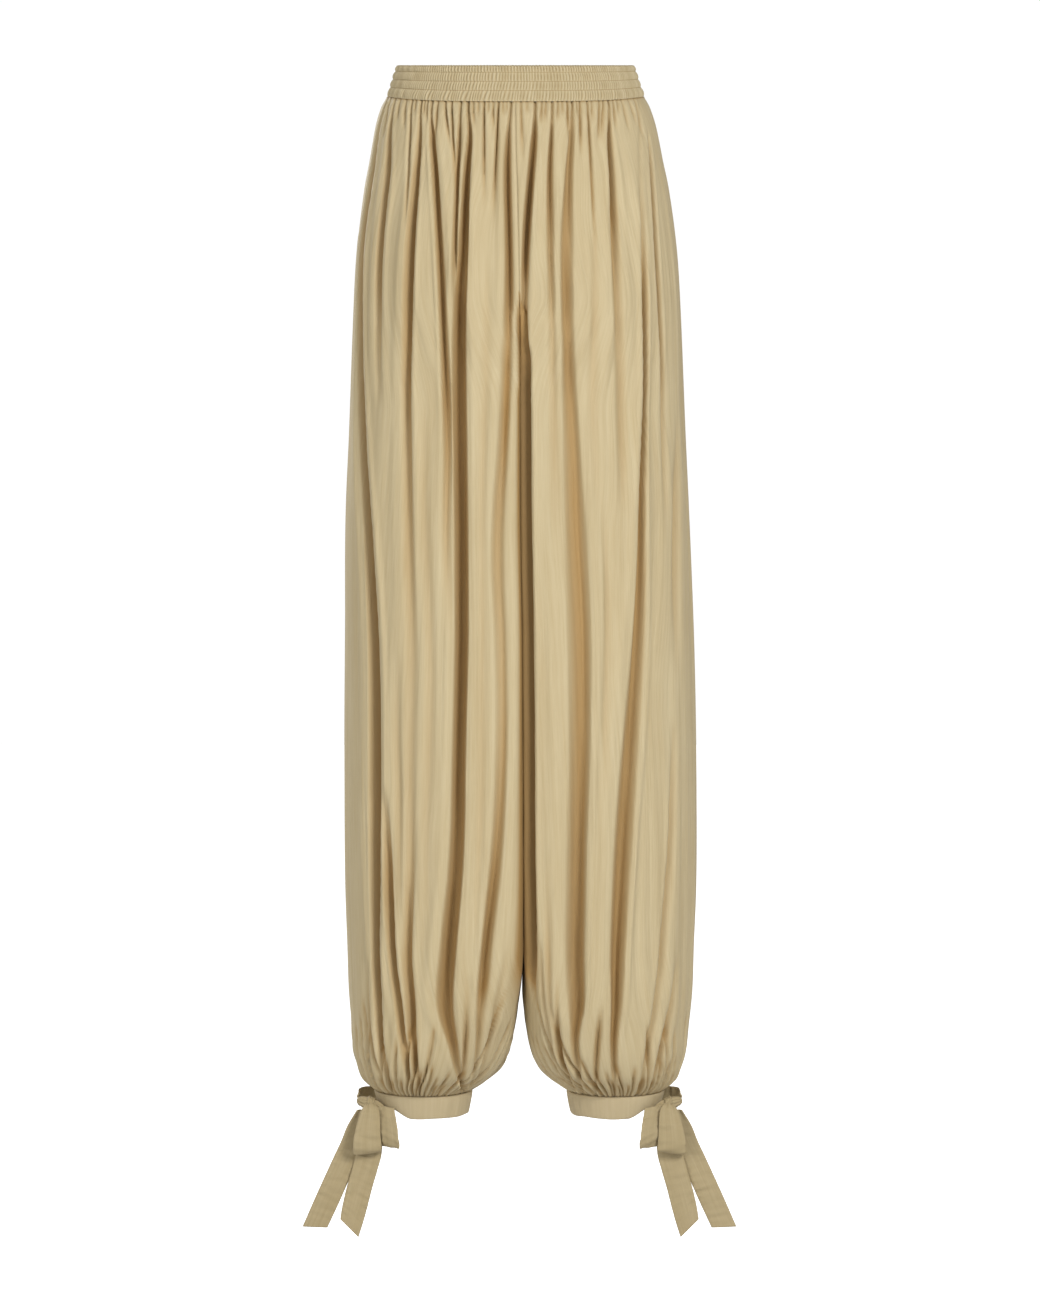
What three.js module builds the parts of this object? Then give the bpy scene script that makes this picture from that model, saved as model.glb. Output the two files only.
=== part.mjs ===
import * as THREE from 'three';

// Bloomer trousers with a shirred elastic waistband, gathered legs and tied ankle cuffs, hanging as worn.
// Millimetres. +Z is up, -Y is the front and +X is the wearer's left. The origin is the middle of the waist.

// Driving sizes of the cloth, the band, the crotch seam and the cuffs.
const SEAM_GAP = 0.3;
const CLOTH = 1.5;
const STEEPEST = 3;
const BAND = { top: 17.5, bottom: -17.5, sideTop: 118, sideBottom: 128, deepTop: 76, deepBottom: 82 };
const BAND_WALL = 2.6;
const BAND_PUFF = 1.2;
const BAND_STITCHING = [0, 6.5, 15.5, 24.5, 35];
const BAND_SEGMENTS = 56;
const WAIST_TILT = 0.1;
const TILT_ENDS = -160;
const SIDE_LIFT = 4;
const LIFT_ENDS = -90;
const SPLIT_TOP = -215;
const CROTCH = -335;
const CUFF = { top: -1006, height: 22.5, centre: 96, wide: 49, deep: 36, wideBelow: 45, deepBelow: 34 };
const CUFF_WALL = 3;
const CUFF_RISE = { height: 9, starts: 0.25, full: 0.75 };
const CUFF_SEGMENTS = 36;
const CUFF_DIP = 0.16;
const DIP_STARTS = -946;
const CUFF_SWAY = 4;
const TIE_WALL = 1.4;

// Columns of points in a leg panel: a gather takes two, its ridge and its hollow. The inner leg adds its own.
const FACE_COLUMNS = 40;
const INNER_COLUMNS = 6;
const OUTLINE_STEPS = 400;
const COLUMN_UNEVENNESS = 0.22;
const CUFF_EVENNESS = 0.6;
const EVENING_STARTS = -860;

// The outline of a leg at each height: how far the garment hangs to one side, half its width, its depth in
// front and behind, the distance from the middle to the inner leg, and how round the corners are.
const OUTLINE = [
  { z: -18, sway: 0, side: 129, front: 82.5, back: 82.5, inner: 0.15, roundIn: 0.1, roundOut: 1 },
  { z: -30, sway: 0, side: 134.5, front: 87, back: 88, inner: 0.15, roundIn: 0.1, roundOut: 0.99 },
  { z: -47, sway: 0.3, side: 140, front: 91, back: 93, inner: 0.15, roundIn: 0.1, roundOut: 0.98 },
  { z: -77, sway: 0.7, side: 146.5, front: 96, back: 101, inner: 0.15, roundIn: 0.1, roundOut: 0.94 },
  { z: -107, sway: 1, side: 152.5, front: 100, back: 108, inner: 0.15, roundIn: 0.1, roundOut: 0.9 },
  { z: -167, sway: 1.3, side: 160, front: 105, back: 116, inner: 0.15, roundIn: 0.11, roundOut: 0.84 },
  { z: -227, sway: 1.5, side: 163.5, front: 108, back: 119, inner: 0.15, roundIn: 0.12, roundOut: 0.8 },
  { z: -347, sway: 1.8, side: 168, front: 109, back: 117, inner: 0.15, roundIn: 0.14, roundOut: 0.76 },
  { z: -437, sway: 2, side: 172, front: 109, back: 114, inner: 0.15, roundIn: 0.15, roundOut: 0.75 },
  { z: -557, sway: 3.8, side: 174.5, front: 109, back: 112, inner: 0.15, roundIn: 0.16, roundOut: 0.75 },
  { z: -677, sway: 4.5, side: 176, front: 108, back: 110, inner: 0.15, roundIn: 0.17, roundOut: 0.75 },
  { z: -797, sway: 5, side: 175.5, front: 106, back: 108, inner: 0.15, roundIn: 0.2, roundOut: 0.73 },
  { z: -867, sway: 5, side: 173, front: 103, back: 105, inner: 0.4, roundIn: 0.28, roundOut: 0.7 },
  { z: -907, sway: 5, side: 171.5, front: 99, back: 101, inner: 1.6, roundIn: 0.4, roundOut: 0.66 },
  { z: -937, sway: 4.8, side: 169, front: 92, back: 94, inner: 5.2, roundIn: 0.55, roundOut: 0.62 },
  { z: -964, sway: 4.5, side: 166, front: 81, back: 83, inner: 11, roundIn: 0.75, roundOut: 0.57 },
  { z: -983, sway: 4.3, side: 160, front: 66, back: 68, inner: 21, roundIn: 0.9, roundOut: 0.53 },
  { z: -996, sway: 4.1, side: 154, front: 49, back: 50, inner: 35, roundIn: 0.97, roundOut: 0.51 },
  { z: -1006, sway: 4, side: 145, front: 36, back: 36, inner: 47, roundIn: 1, roundOut: 0.5 },
];

// Heights at which each long fold is given, from the waist seam down to the cuff seam.
const FOLD_HEIGHTS = [-22, -120, -200, -317, -500, -700, -867, -945, -1002];

// The long folds of each panel, named by the column each one runs down. At the heights above: its distance
// from the middle of the garment, its depth, and half its width.
const FOLDS = {
  right_front: [
    {
      column: 3,
      at: [9, 9, 10, 13, 21, 21, 36, 42, 52],
      depth: [2, 4, 8, 7, 5, 7, 10, 5, 1],
      half: [4, 6, 8, 9, 9, 9, 9, 7, 4],
    },
    {
      column: 11,
      at: [48, 50, 55, 55, 57, 62, 70, 66, 64],
      depth: [2, 11, 17, 18, 18, 18, 19, 12, 1],
      half: [4, 7, 9, 11, 11, 12, 12, 8, 4],
    },
    {
      column: 17,
      at: [83, 81, 78, 74, 76, 82, 90, 86, 78],
      depth: [2, 9, 12, 10, 3, 2, 2, 6, 1],
      half: [4, 6, 7, 8, 9, 9, 9, 7, 4],
    },
    {
      column: 23,
      at: [97, 102, 107, 110, 110, 109, 112, 107, 99],
      depth: [2, 8, 12, 13, 6, 5, 9, 12, 1],
      half: [4, 6, 7, 8, 9, 10, 9, 8, 4],
    },
    {
      column: 33,
      at: [125, 147, 155, 156, 148, 144, 145, 140, 127],
      depth: [2, 8, 13, 17, 19, 20, 17, 11, 1],
      half: [4, 6, 8, 9, 11, 12, 12, 8, 4],
    },
    {
      column: 37,
      at: [128.4, 152.6, 160.8, 163.5, 166.5, 169, 166, 160, 142],
      depth: [1, 0, 1, 4, 8, 10, 9, 7, 1],
      half: [4, 6, 8, 9, 11, 12, 11, 8, 4],
    },
  ],
  left_front: [
    {
      column: 5,
      at: [22, 16, 13, 12, 16, 18, 24, 34, 54],
      depth: [3, 10, 10, 4, 2, 2, 3, 4, 1],
      half: [4, 6, 8, 8, 9, 9, 9, 8, 4],
    },
    {
      column: 11,
      at: [48, 44, 42, 48, 62, 64, 62, 56, 62],
      depth: [2, 5, 7, 9, 12, 16, 17, 10, 1],
      half: [4, 6, 8, 10, 13, 14, 12, 9, 4],
    },
    {
      column: 19,
      at: [86, 93, 101, 105, 99, 90, 84, 80, 82],
      depth: [2, 9, 9, 7, 3, 2, 3, 6, 1],
      half: [4, 6, 8, 9, 10, 10, 9, 8, 4],
    },
    {
      column: 25,
      at: [103, 120, 127, 128, 123, 110, 104, 97, 99],
      depth: [2, 3, 7, 13, 12, 15, 16, 12, 1],
      half: [4, 6, 7, 8, 11, 13, 11, 8, 4],
    },
    {
      column: 33,
      at: [124, 137, 141, 145, 153, 156, 143, 134, 124],
      depth: [2, 9, 13, 9, 5, 6, 8, 9, 1],
      half: [4, 5, 7, 8, 10, 10, 9, 8, 4],
    },
    {
      column: 37,
      at: [127.5, 150, 157, 161, 167, 170, 163, 157, 139],
      depth: [1, 4, 8, 9, 6, 5, 8, 8, 1],
      half: [4, 6, 8, 10, 11, 11, 10, 8, 4],
    },
  ],
  right_back: [
    {
      column: 3,
      at: [10, 12, 15, 17, 18, 24, 34, 42, 52],
      depth: [2, 7, 8, 9, 11, 8, 6, 5, 1],
      half: [4, 6, 8, 9, 10, 10, 9, 8, 4],
    },
    {
      column: 9,
      at: [38, 42, 45, 51, 53, 58, 60, 62, 62],
      depth: [2, 9, 13, 16, 17, 17, 15, 10, 1],
      half: [4, 6, 8, 10, 12, 12, 11, 8, 4],
    },
    {
      column: 17,
      at: [80, 76, 80, 86, 90, 88, 84, 82, 80],
      depth: [2, 8, 11, 8, 4, 3, 6, 9, 1],
      half: [4, 6, 8, 9, 9, 9, 9, 8, 4],
    },
    {
      column: 25,
      at: [103, 112, 119, 122, 120, 121, 114, 106, 101],
      depth: [2, 6, 9, 14, 16, 14, 15, 12, 1],
      half: [4, 6, 8, 10, 12, 12, 11, 8, 4],
    },
    {
      column: 33,
      at: [124, 145, 150, 153, 156, 154, 148, 138, 126],
      depth: [2, 9, 11, 7, 6, 9, 12, 10, 1],
      half: [4, 6, 8, 8, 9, 10, 10, 8, 4],
    },
    {
      column: 37,
      at: [127.8, 151, 158.5, 162.5, 168, 170.5, 167, 158, 140],
      depth: [1, 3, 7, 10, 11, 8, 6, 7, 1],
      half: [4, 6, 8, 10, 12, 11, 10, 8, 4],
    },
  ],
  left_back: [
    {
      column: 5,
      at: [20, 17, 15, 18, 24, 22, 30, 40, 54],
      depth: [2, 8, 11, 8, 6, 8, 9, 5, 1],
      half: [4, 7, 8, 9, 10, 10, 9, 8, 4],
    },
    {
      column: 11,
      at: [46, 49, 55, 60, 58, 52, 58, 62, 64],
      depth: [2, 6, 9, 14, 16, 14, 12, 9, 1],
      half: [4, 6, 8, 11, 12, 12, 10, 8, 4],
    },
    {
      column: 19,
      at: [85, 90, 88, 92, 96, 95, 90, 86, 82],
      depth: [2, 10, 14, 12, 13, 16, 17, 12, 1],
      half: [4, 7, 9, 10, 12, 12, 11, 8, 4],
    },
    {
      column: 27,
      at: [108, 122, 128, 131, 133, 126, 118, 110, 106],
      depth: [2, 7, 7, 5, 3, 4, 8, 10, 1],
      half: [4, 6, 8, 8, 9, 9, 9, 8, 4],
    },
    {
      column: 35,
      at: [127, 149, 156, 160, 158, 157, 152, 142, 129],
      depth: [2, 6, 9, 13, 15, 13, 10, 9, 1],
      half: [4, 6, 8, 9, 11, 11, 10, 8, 4],
    },
    {
      column: 38,
      at: [128.7, 153, 161, 165.5, 170, 172, 169, 160, 143],
      depth: [0, 1, 2, 3, 7, 9, 8, 6, 1],
      half: [4, 6, 8, 9, 11, 12, 10, 8, 4],
    },
  ],
};

// The short gathers at the two ends of a panel: where they start, which way they run, how deep they are at
// the seam and further in, and how far the shortest and the longest of them run.
const GATHERS = {
  waist: { from: -18, down: -1, seam: 2, deep: 4.4, shortest: 60, longest: 210 },
  cuff: { from: -1006, down: 1, seam: 2, deep: 4.2, shortest: 35, longest: 125 },
};
const GATHER_SWELL = 0.3;

// Heights of the rows of points of a leg panel.
const ROWS_ABOVE_SPLIT = [-17.8, -30, -56, -115];
const ROWS_ABOVE_CROTCH = [-234, -275];
const ROWS_BELOW_CROTCH = [-430, -540, -650, -760, -850, -905, -942, -968, -986, -998, -1005.7];
const ROWS = [...ROWS_ABOVE_SPLIT, SPLIT_TOP, ...ROWS_ABOVE_CROTCH, CROTCH, ...ROWS_BELOW_CROTCH];

// The strips of the bow at the outer ankle, measured out from the middle of the garment. tilt turns a strip's
// width up at its outer edge and turn swings that edge to the back, both in degrees.
const BOW = {
  wrap: [
    { x: 121, y: 31.9, z: -1015, wide: 19.5, tilt: 90, turn: 0 },
    { x: 134, y: 26, z: -1014.5, wide: 19.5, tilt: 90, turn: 0 },
    { x: 146, y: 18, z: -1014, wide: 19.5, tilt: 90, turn: 0 },
    { x: 155, y: 8.5, z: -1013.5, wide: 19, tilt: 90, turn: 0 },
    { x: 160.3, y: -1.5, z: -1014, wide: 17.5, tilt: 90, turn: 0 },
    { x: 161.3, y: -13.6, z: -1015, wide: 12, tilt: 90, turn: 0 },
  ],
  front_loop: [
    { x: 149.3, y: -31.2, z: -1018.5, wide: 7, tilt: -8, turn: 0 },
    { x: 149.9, y: -34.5, z: -1025.5, wide: 15, tilt: -8, turn: 0 },
    { x: 151, y: -37.5, z: -1038, wide: 22.5, tilt: -8, turn: 0 },
    { x: 151.4, y: -38.5, z: -1051, wide: 27, tilt: -6, turn: 0 },
    { x: 151.3, y: -37.5, z: -1060.5, wide: 28.5, tilt: -4, turn: 0 },
    { x: 151.3, y: -33.5, z: -1066.3, wide: 28.5, tilt: -4, turn: 0 },
    { x: 151.3, y: -28.5, z: -1065.5, wide: 28, tilt: -4, turn: 0 },
    { x: 151.3, y: -25.3, z: -1057, wide: 26, tilt: -4, turn: 0 },
    { x: 151.2, y: -24, z: -1045, wide: 21, tilt: -4, turn: 0 },
    { x: 151, y: -24, z: -1034, wide: 12, tilt: -4, turn: 0 },
  ],
  rear_loop: [
    { x: 132.5, y: -30, z: -1029.5, wide: 12, tilt: 12, turn: 25 },
    { x: 130, y: -36.5, z: -1038, wide: 16.5, tilt: 12, turn: 25 },
    { x: 128.3, y: -39.5, z: -1048, wide: 19, tilt: 10, turn: 25 },
    { x: 127.8, y: -38, z: -1056.5, wide: 19.5, tilt: 8, turn: 25 },
    { x: 127.8, y: -33.3, z: -1061, wide: 19.5, tilt: 8, turn: 25 },
    { x: 128, y: -29, z: -1055.5, wide: 19, tilt: 8, turn: 25 },
    { x: 129.8, y: -28.5, z: -1045.5, wide: 16, tilt: 8, turn: 25 },
    { x: 132, y: -28.2, z: -1037, wide: 11, tilt: 8, turn: 25 },
  ],
  outer_tail: [
    { x: 156.5, y: -18.5, z: -1025.1, wide: 11, tilt: 0, turn: 0 },
    { x: 161, y: -17.5, z: -1041, wide: 21, tilt: 0, turn: 0 },
    { x: 165, y: -17, z: -1057, wide: 26, tilt: 0, turn: 0 },
    { x: 173.5, y: -17.5, z: -1075, wide: 26, tilt: 0, turn: 2 },
    { x: 184.5, y: -18.5, z: -1099, wide: 26, tilt: 0, turn: 4 },
    { x: 192.5, y: -18, z: -1117, wide: 26, tilt: 1, turn: 4 },
    { x: 204, y: -16, z: -1142.5, wide: 25, tilt: 2, turn: 3 },
  ],
  inner_tail: [
    { x: 148.5, y: -20.5, z: -1027.6, wide: 9, tilt: 8, turn: 0 },
    { x: 148, y: -21, z: -1046, wide: 21, tilt: 8, turn: 0 },
    { x: 149.5, y: -21.5, z: -1066, wide: 25, tilt: 8, turn: 0 },
    { x: 154, y: -21.5, z: -1084, wide: 25, tilt: 8, turn: -2 },
    { x: 159.5, y: -22, z: -1103, wide: 25, tilt: 10, turn: -4 },
    { x: 164, y: -23, z: -1121, wide: 25, tilt: 22, turn: -4 },
    { x: 169.5, y: -24, z: -1143, wide: 25.5, tilt: 45, turn: -3 },
  ],
};
const STRIP_STATIONS = 12;
const STRIP_SHARES = [-0.5, 0, 0.5];
const STRIP_CROWN = 0.03;
const KNOT = { x: 148, y: -22, z: -1020, long: 16, thick: 8.5, tall: 7, slope: 20, swing: 20 };
const KNOT_GROOVES = 3;
const KNOT_GROOVE = 0.09;
const KNOT_ROUND = 12;
const KNOT_LONG = 9;

// One crinkled viscose cloth for every piece, drier and a little darker where it is shirred or tied.
const cloths = {
  leg: { color: 0xc9b98f, roughness: 0.68 },
  band: { color: 0xc3b389, roughness: 0.74 },
  tie: { color: 0xb9a67c, roughness: 0.74 },
};

const { lerp, smoothstep, degToRad } = THREE.MathUtils;

// A value between 0 and 1 that differs from one gather to the next, the same on every run.
function uneven(index, seed) {
  const wave = Math.sin(index * 12.9898 + seed * 78.233) * 43758.5453;
  return wave - Math.floor(wave);
}

// A smooth curve through the values that a table gives at falling heights, read at height z.
function alongHeights(heights, values, z) {
  const last = heights.length - 1;
  if (z >= heights[0]) return values[0];
  if (z <= heights[last]) return values[last];
  const i = heights.findLastIndex((height) => height > z);
  const span = heights[i + 1] - heights[i];
  const slopeOver = (a, b) => (span * (values[b] - values[a])) / (heights[b] - heights[a]);
  const before = slopeOver(Math.max(i - 1, 0), i + 1);
  const after = slopeOver(i, Math.min(i + 2, last));
  const t = (z - heights[i]) / span;
  const cubic = 2 * (values[i] - values[i + 1]) + before + after;
  const square = 3 * (values[i + 1] - values[i]) - 2 * before - after;
  return ((cubic * t + square) * t + before) * t + values[i];
}

const outlineHeights = OUTLINE.map((row) => row.z);

// The outline's sizes at height z, each column of the table read as a smooth curve.
function outlineAt(z) {
  const size = { split: 1 - smoothstep(z, CROTCH, SPLIT_TOP) };
  for (const name of ['sway', 'side', 'front', 'back', 'inner', 'roundIn', 'roundOut']) {
    size[name] = alongHeights(outlineHeights, OUTLINE.map((row) => row[name]), z);
  }
  size.inner = lerp(SEAM_GAP / 2, size.inner, size.split);
  return size;
}

// A quarter of the garment's level section: from the middle seam, forward along the inner leg, round the
// corner and across the face to the side seam. Above the crotch the inner leg is as deep as the legs part.
function quarterSection(size, deep) {
  const width = size.side - size.inner;
  const parted = deep * size.split;
  const cornerY = Math.min(size.roundIn * deep, parted);
  const cornerX = Math.min((size.roundIn * width) / 2, cornerY * 2);
  const sideX = Math.min(size.roundOut * width, width - cornerX);
  const path = new THREE.Path();
  path.moveTo(size.inner, parted - deep);
  if (cornerY > 0) {
    path.lineTo(size.inner, cornerY - deep);
    path.absellipse(size.inner + cornerX, cornerY - deep, cornerX, cornerY, Math.PI, 1.5 * Math.PI, false);
  }
  path.lineTo(size.side - sideX, -deep);
  path.absellipse(size.side - sideX, 0, sideX, deep, 1.5 * Math.PI, 2 * Math.PI, false);
  const points = path.getSpacedPoints(OUTLINE_STEPS);
  const shareAt = (x) => points.findIndex((point) => point.x >= x) / OUTLINE_STEPS;
  return { points, length: path.getLength(), shareAt };
}

// The share of the section at which each column lies. A long fold holds its column, and the rest are spread
// between the folds. The inner leg's columns lie up to the corner, and all even out towards the cuff.
function columnShares(section, size, folds, z, seed) {
  const cornerX = size.split > 0 ? size.inner + (size.roundIn * (size.side - size.inner)) / 12 : 0;
  const corner = Math.max(section.shareAt(cornerX), 0) * Math.sign(size.split);
  const held = [{ column: 0, share: corner }];
  for (const fold of folds) {
    held.push({ column: fold.column, share: section.shareAt(alongHeights(FOLD_HEIGHTS, fold.at, z)) });
  }
  held.push({ column: FACE_COLUMNS, share: 1 });
  const evenly = CUFF_EVENNESS * (1 - smoothstep(z, CUFF.top, EVENING_STARTS));
  const shares = [];
  for (let column = -INNER_COLUMNS; column <= FACE_COLUMNS; column++) {
    const next = Math.max(1, held.findIndex((hold) => hold.column >= column));
    const [a, b] = [held[next - 1], held[next]];
    const spread = lerp(a.share, b.share, (column - a.column) / (b.column - a.column));
    const share = column < 0 ? (corner * (column + INNER_COLUMNS)) / INNER_COLUMNS : spread;
    const even = (column + INNER_COLUMNS) / (INNER_COLUMNS + FACE_COLUMNS);
    shares.push(lerp(share, even, evenly));
  }
  return shares.map((share, i) => {
    if (i <= INNER_COLUMNS || i === shares.length - 1) return share;
    const nudge = COLUMN_UNEVENNESS * (2 * uneven(i, seed) - 1);
    return share + (nudge * (shares[i + 1] - shares[i - 1])) / 2;
  });
}

// How deep the short gathers are at a column. Each swells a little way from its seam and has its own length.
function gatherDepth(kind, column, z, seed) {
  if (column % 2 === 0) return 0;
  const away = (z - kind.from) * kind.down;
  const reach = lerp(kind.shortest, kind.longest, uneven(column, seed));
  const full = lerp(0.6, 1, uneven(column, seed + 1)) * kind.deep;
  const swollen = lerp(kind.seam, full, smoothstep(away, 0, reach * GATHER_SWELL));
  return swollen * (1 - smoothstep(away, reach * GATHER_SWELL, reach));
}

// How deep the long folds are at a share of the section.
function foldDepth(folds, shares, section, share, z) {
  let depth = 0;
  for (const fold of folds) {
    const off = Math.abs(share - shares[fold.column + INNER_COLUMNS]) * section.length;
    const half = alongHeights(FOLD_HEIGHTS, fold.half, z);
    const reached = Math.max(alongHeights(FOLD_HEIGHTS, fold.depth, z), 0);
    if (off < half) depth += reached * (0.5 + 0.5 * Math.cos((Math.PI * off) / half));
  }
  return depth;
}

// The waist is a little lower in front, and so is each cuff. Both tilts die away along the leg, and so does
// the rise of the waist seam towards the sides, where x is far out on a garment of this half width.
function settled(x, y, z, halfWidth) {
  const tilt = WAIST_TILT * smoothstep(z, TILT_ENDS, BAND.bottom);
  const dip = CUFF_DIP * (1 - smoothstep(z, CUFF.top, DIP_STARTS));
  const outwards = Math.min(Math.abs(x) / halfWidth, 1);
  const lift = SIDE_LIFT * smoothstep(z, LIFT_ENDS, BAND.bottom) * outwards ** 4;
  return new THREE.Vector3(x, y, z + (tilt + dip) * y + lift);
}

// One row of a leg panel at height z: each column's point on the cloth's outer face and on its inner face.
function panelRow(side, face, folds, z, seed) {
  const size = outlineAt(z);
  const section = quarterSection(size, size[face]);
  const shares = columnShares(section, size, folds, z, seed);
  const turned = face === 'back' ? -1 : 1;
  const depths = shares.map((share, column) => {
    const atWaist = gatherDepth(GATHERS.waist, column, z, seed);
    const atCuff = gatherDepth(GATHERS.cuff, column, z, seed + 2);
    return atWaist + atCuff + foldDepth(folds, shares, section, share, z);
  });
  return shares.map((share, column) => {
    const index = Math.round(share * OUTLINE_STEPS);
    const point = section.points[index];
    const before = section.points[Math.max(index - 6, 0)];
    const after = section.points[Math.min(index + 6, OUTLINE_STEPS)];
    const inward = new THREE.Vector2(before.y - after.y, after.x - before.x).normalize();
    const neighbours = [column - 1, column + 1].filter((other) => other >= 0 && other < shares.length);
    const slopes = neighbours.map((other) => {
      const pitch = Math.max(Math.abs(shares[other] - share) * section.length, 1);
      return Math.abs(depths[other] - depths[column]) / pitch;
    });
    const wall = CLOTH * Math.hypot(1, Math.min(Math.max(...slopes), STEEPEST));
    const [outer, inner] = [depths[column], depths[column] + wall].map((drop) => {
      const x = Math.max(point.x + inward.x * drop, SEAM_GAP / 2);
      const y = Math.min(point.y + inward.y * drop, -SEAM_GAP / 2);
      return settled(side * x + size.sway, turned * y, z, size.side);
    });
    return { outer, inner };
  });
}

// A leg panel, from the middle seam and inseam round to the side seam, as one gathered and folded wall.
function legPanel(side, face, folds, seed) {
  const points = [];
  const rows = ROWS.map((z) => {
    const row = panelRow(side, face, folds, z, seed);
    const ids = [];
    row.forEach((point, column) => {
      if (z >= SPLIT_TOP && column < INNER_COLUMNS) return;
      ids[column] = points.push(point) - 1;
    });
    if (z === SPLIT_TOP) ids.fill(ids[INNER_COLUMNS], 0, INNER_COLUMNS);
    return ids;
  });
  const faces = [];
  for (let i = 0; i < rows.length - 1; i++) {
    for (let column = 0; column < INNER_COLUMNS + FACE_COLUMNS; column++) {
      const [a, b] = [rows[i][column], rows[i][column + 1]];
      const [d, c] = [rows[i + 1][column], rows[i + 1][column + 1]];
      if (a === undefined) continue;
      if (a !== b) faces.push([a, b, c]);
      faces.push([a, c, d]);
    }
  }
  return wallOver(points, faces);
}

// A closed wall over a sheet of faces: the outer face, the inner face, and a rim along every free edge.
function wallOver(points, faces) {
  const count = points.length;
  const solid = [...faces, ...faces.map(([a, b, c]) => [a + count, c + count, b + count])];
  const edges = new Set(faces.flatMap(([a, b, c]) => [`${a},${b}`, `${b},${c}`, `${c},${a}`]));
  for (const edge of edges) {
    const [a, b] = edge.split(',').map(Number);
    if (!edges.has(`${b},${a}`)) solid.push([b, a, a + count], [b, a + count, b + count]);
  }
  return closedBody([...points.map((point) => point.outer), ...points.map((point) => point.inner)], solid);
}

// A closed skin over rings of points, joined end to start or capped at both ends.
function closedSkin(rings, joined) {
  const count = rings[0].length;
  const faces = [];
  const stretches = joined ? rings.length : rings.length - 1;
  for (let i = 0; i < stretches; i++) {
    const here = i * count;
    const there = ((i + 1) % rings.length) * count;
    for (let j = 0; j < count; j++) {
      const k = (j + 1) % count;
      faces.push([here + j, here + k, there + k], [here + j, there + k, there + j]);
    }
  }
  const end = (rings.length - 1) * count;
  for (let j = 1; !joined && j < count - 1; j++) {
    faces.push([0, j + 1, j], [end, end + j, end + j + 1]);
  }
  return closedBody(rings.flat(), faces);
}

// A geometry from points and faces, with the faces turned outwards where they enclose a negative volume.
function closedBody(points, faces) {
  const sixfold = faces.reduce((sum, [a, b, c]) => {
    return sum + points[a].dot(new THREE.Vector3().crossVectors(points[b], points[c]));
  }, 0);
  const outward = sixfold < 0 ? faces.map(([a, b, c]) => [a, c, b]) : faces;
  const geometry = new THREE.BufferGeometry().setFromPoints(points);
  geometry.setIndex(outward.flat());
  geometry.computeVertexNormals();
  return geometry;
}

// The shirred waistband: four elastic channels that stand out between rows of stitching, over a plain inside.
function waistband() {
  const height = BAND.top - BAND.bottom;
  const profile = [];
  BAND_STITCHING.forEach((drop, i) => {
    if (i > 0) profile.push({ drop: (drop + BAND_STITCHING[i - 1]) / 2, out: BAND_PUFF });
    profile.push({ drop, out: 0 });
  });
  profile.push({ drop: height, out: -BAND_WALL }, { drop: 0, out: -BAND_WALL });
  const rings = [];
  for (let i = 0; i < BAND_SEGMENTS; i++) {
    const angle = (i / BAND_SEGMENTS) * 2 * Math.PI;
    rings.push(
      profile.map(({ drop, out }) => {
        const x = (lerp(BAND.sideTop, BAND.sideBottom, drop / height) + out) * Math.cos(angle);
        const y = (lerp(BAND.deepTop, BAND.deepBottom, drop / height) + out) * Math.sin(angle);
        const lift = SIDE_LIFT * (drop / height) * Math.cos(angle) ** 4;
        return new THREE.Vector3(x, y, BAND.top - drop + WAIST_TILT * y + lift);
      }),
    );
  }
  return closedSkin(rings, true);
}

// A plain ankle cuff that draws in a little towards its lower edge, which rises at the outer ankle.
function cuff(side) {
  const top = CUFF.top;
  const bottom = CUFF.top - CUFF.height;
  const rings = [];
  for (let i = 0; i < CUFF_SEGMENTS; i++) {
    const angle = (i / CUFF_SEGMENTS) * 2 * Math.PI;
    const rise = CUFF_RISE.height * smoothstep(Math.cos(angle), CUFF_RISE.starts, CUFF_RISE.full);
    const at = (wide, deep, z) => {
      const x = side * (CUFF.centre + wide * Math.cos(angle)) + CUFF_SWAY;
      const y = deep * Math.sin(angle);
      return new THREE.Vector3(x, y, z + CUFF_DIP * y);
    };
    rings.push([
      at(CUFF.wide, CUFF.deep, top),
      at(CUFF.wideBelow, CUFF.deepBelow, bottom + rise),
      at(CUFF.wideBelow - CUFF_WALL, CUFF.deepBelow - CUFF_WALL, bottom + rise),
      at(CUFF.wide - CUFF_WALL, CUFF.deep - CUFF_WALL, top),
    ]);
  }
  return closedSkin(rings, true);
}

// A strip of the tie that follows a table of rows, with a slight crown across it.
function strip(side, rows) {
  const path = new THREE.CatmullRomCurve3(rows.map((row) => new THREE.Vector3(row.x, row.y, row.z)));
  const knots = rows.map((row, i) => -i);
  const rings = [];
  for (let i = 0; i <= STRIP_STATIONS; i++) {
    const t = i / STRIP_STATIONS;
    const read = (name) => alongHeights(knots, rows.map((row) => row[name]), -t * (rows.length - 1));
    const tilt = degToRad(read('tilt'));
    const turn = degToRad(read('turn'));
    const across = new THREE.Vector3(Math.cos(turn), Math.sin(turn), 0).multiplyScalar(Math.cos(tilt));
    across.z = Math.sin(tilt);
    const faceOut = new THREE.Vector3().crossVectors(path.getTangent(t), across).normalize();
    const centre = path.getPoint(t);
    const edge = (share, level) => {
      const crown = STRIP_CROWN * read('wide') * (1 - 4 * share * share);
      const point = centre.clone().addScaledVector(across, share * read('wide'));
      point.addScaledVector(faceOut, level * (TIE_WALL / 2) + crown);
      return new THREE.Vector3(side * point.x + CUFF_SWAY, point.y, point.z);
    };
    rings.push([
      ...STRIP_SHARES.map((share) => edge(share, 1)),
      ...STRIP_SHARES.toReversed().map((share) => edge(share, -1)),
    ]);
  }
  return closedSkin(rings, false);
}

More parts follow.
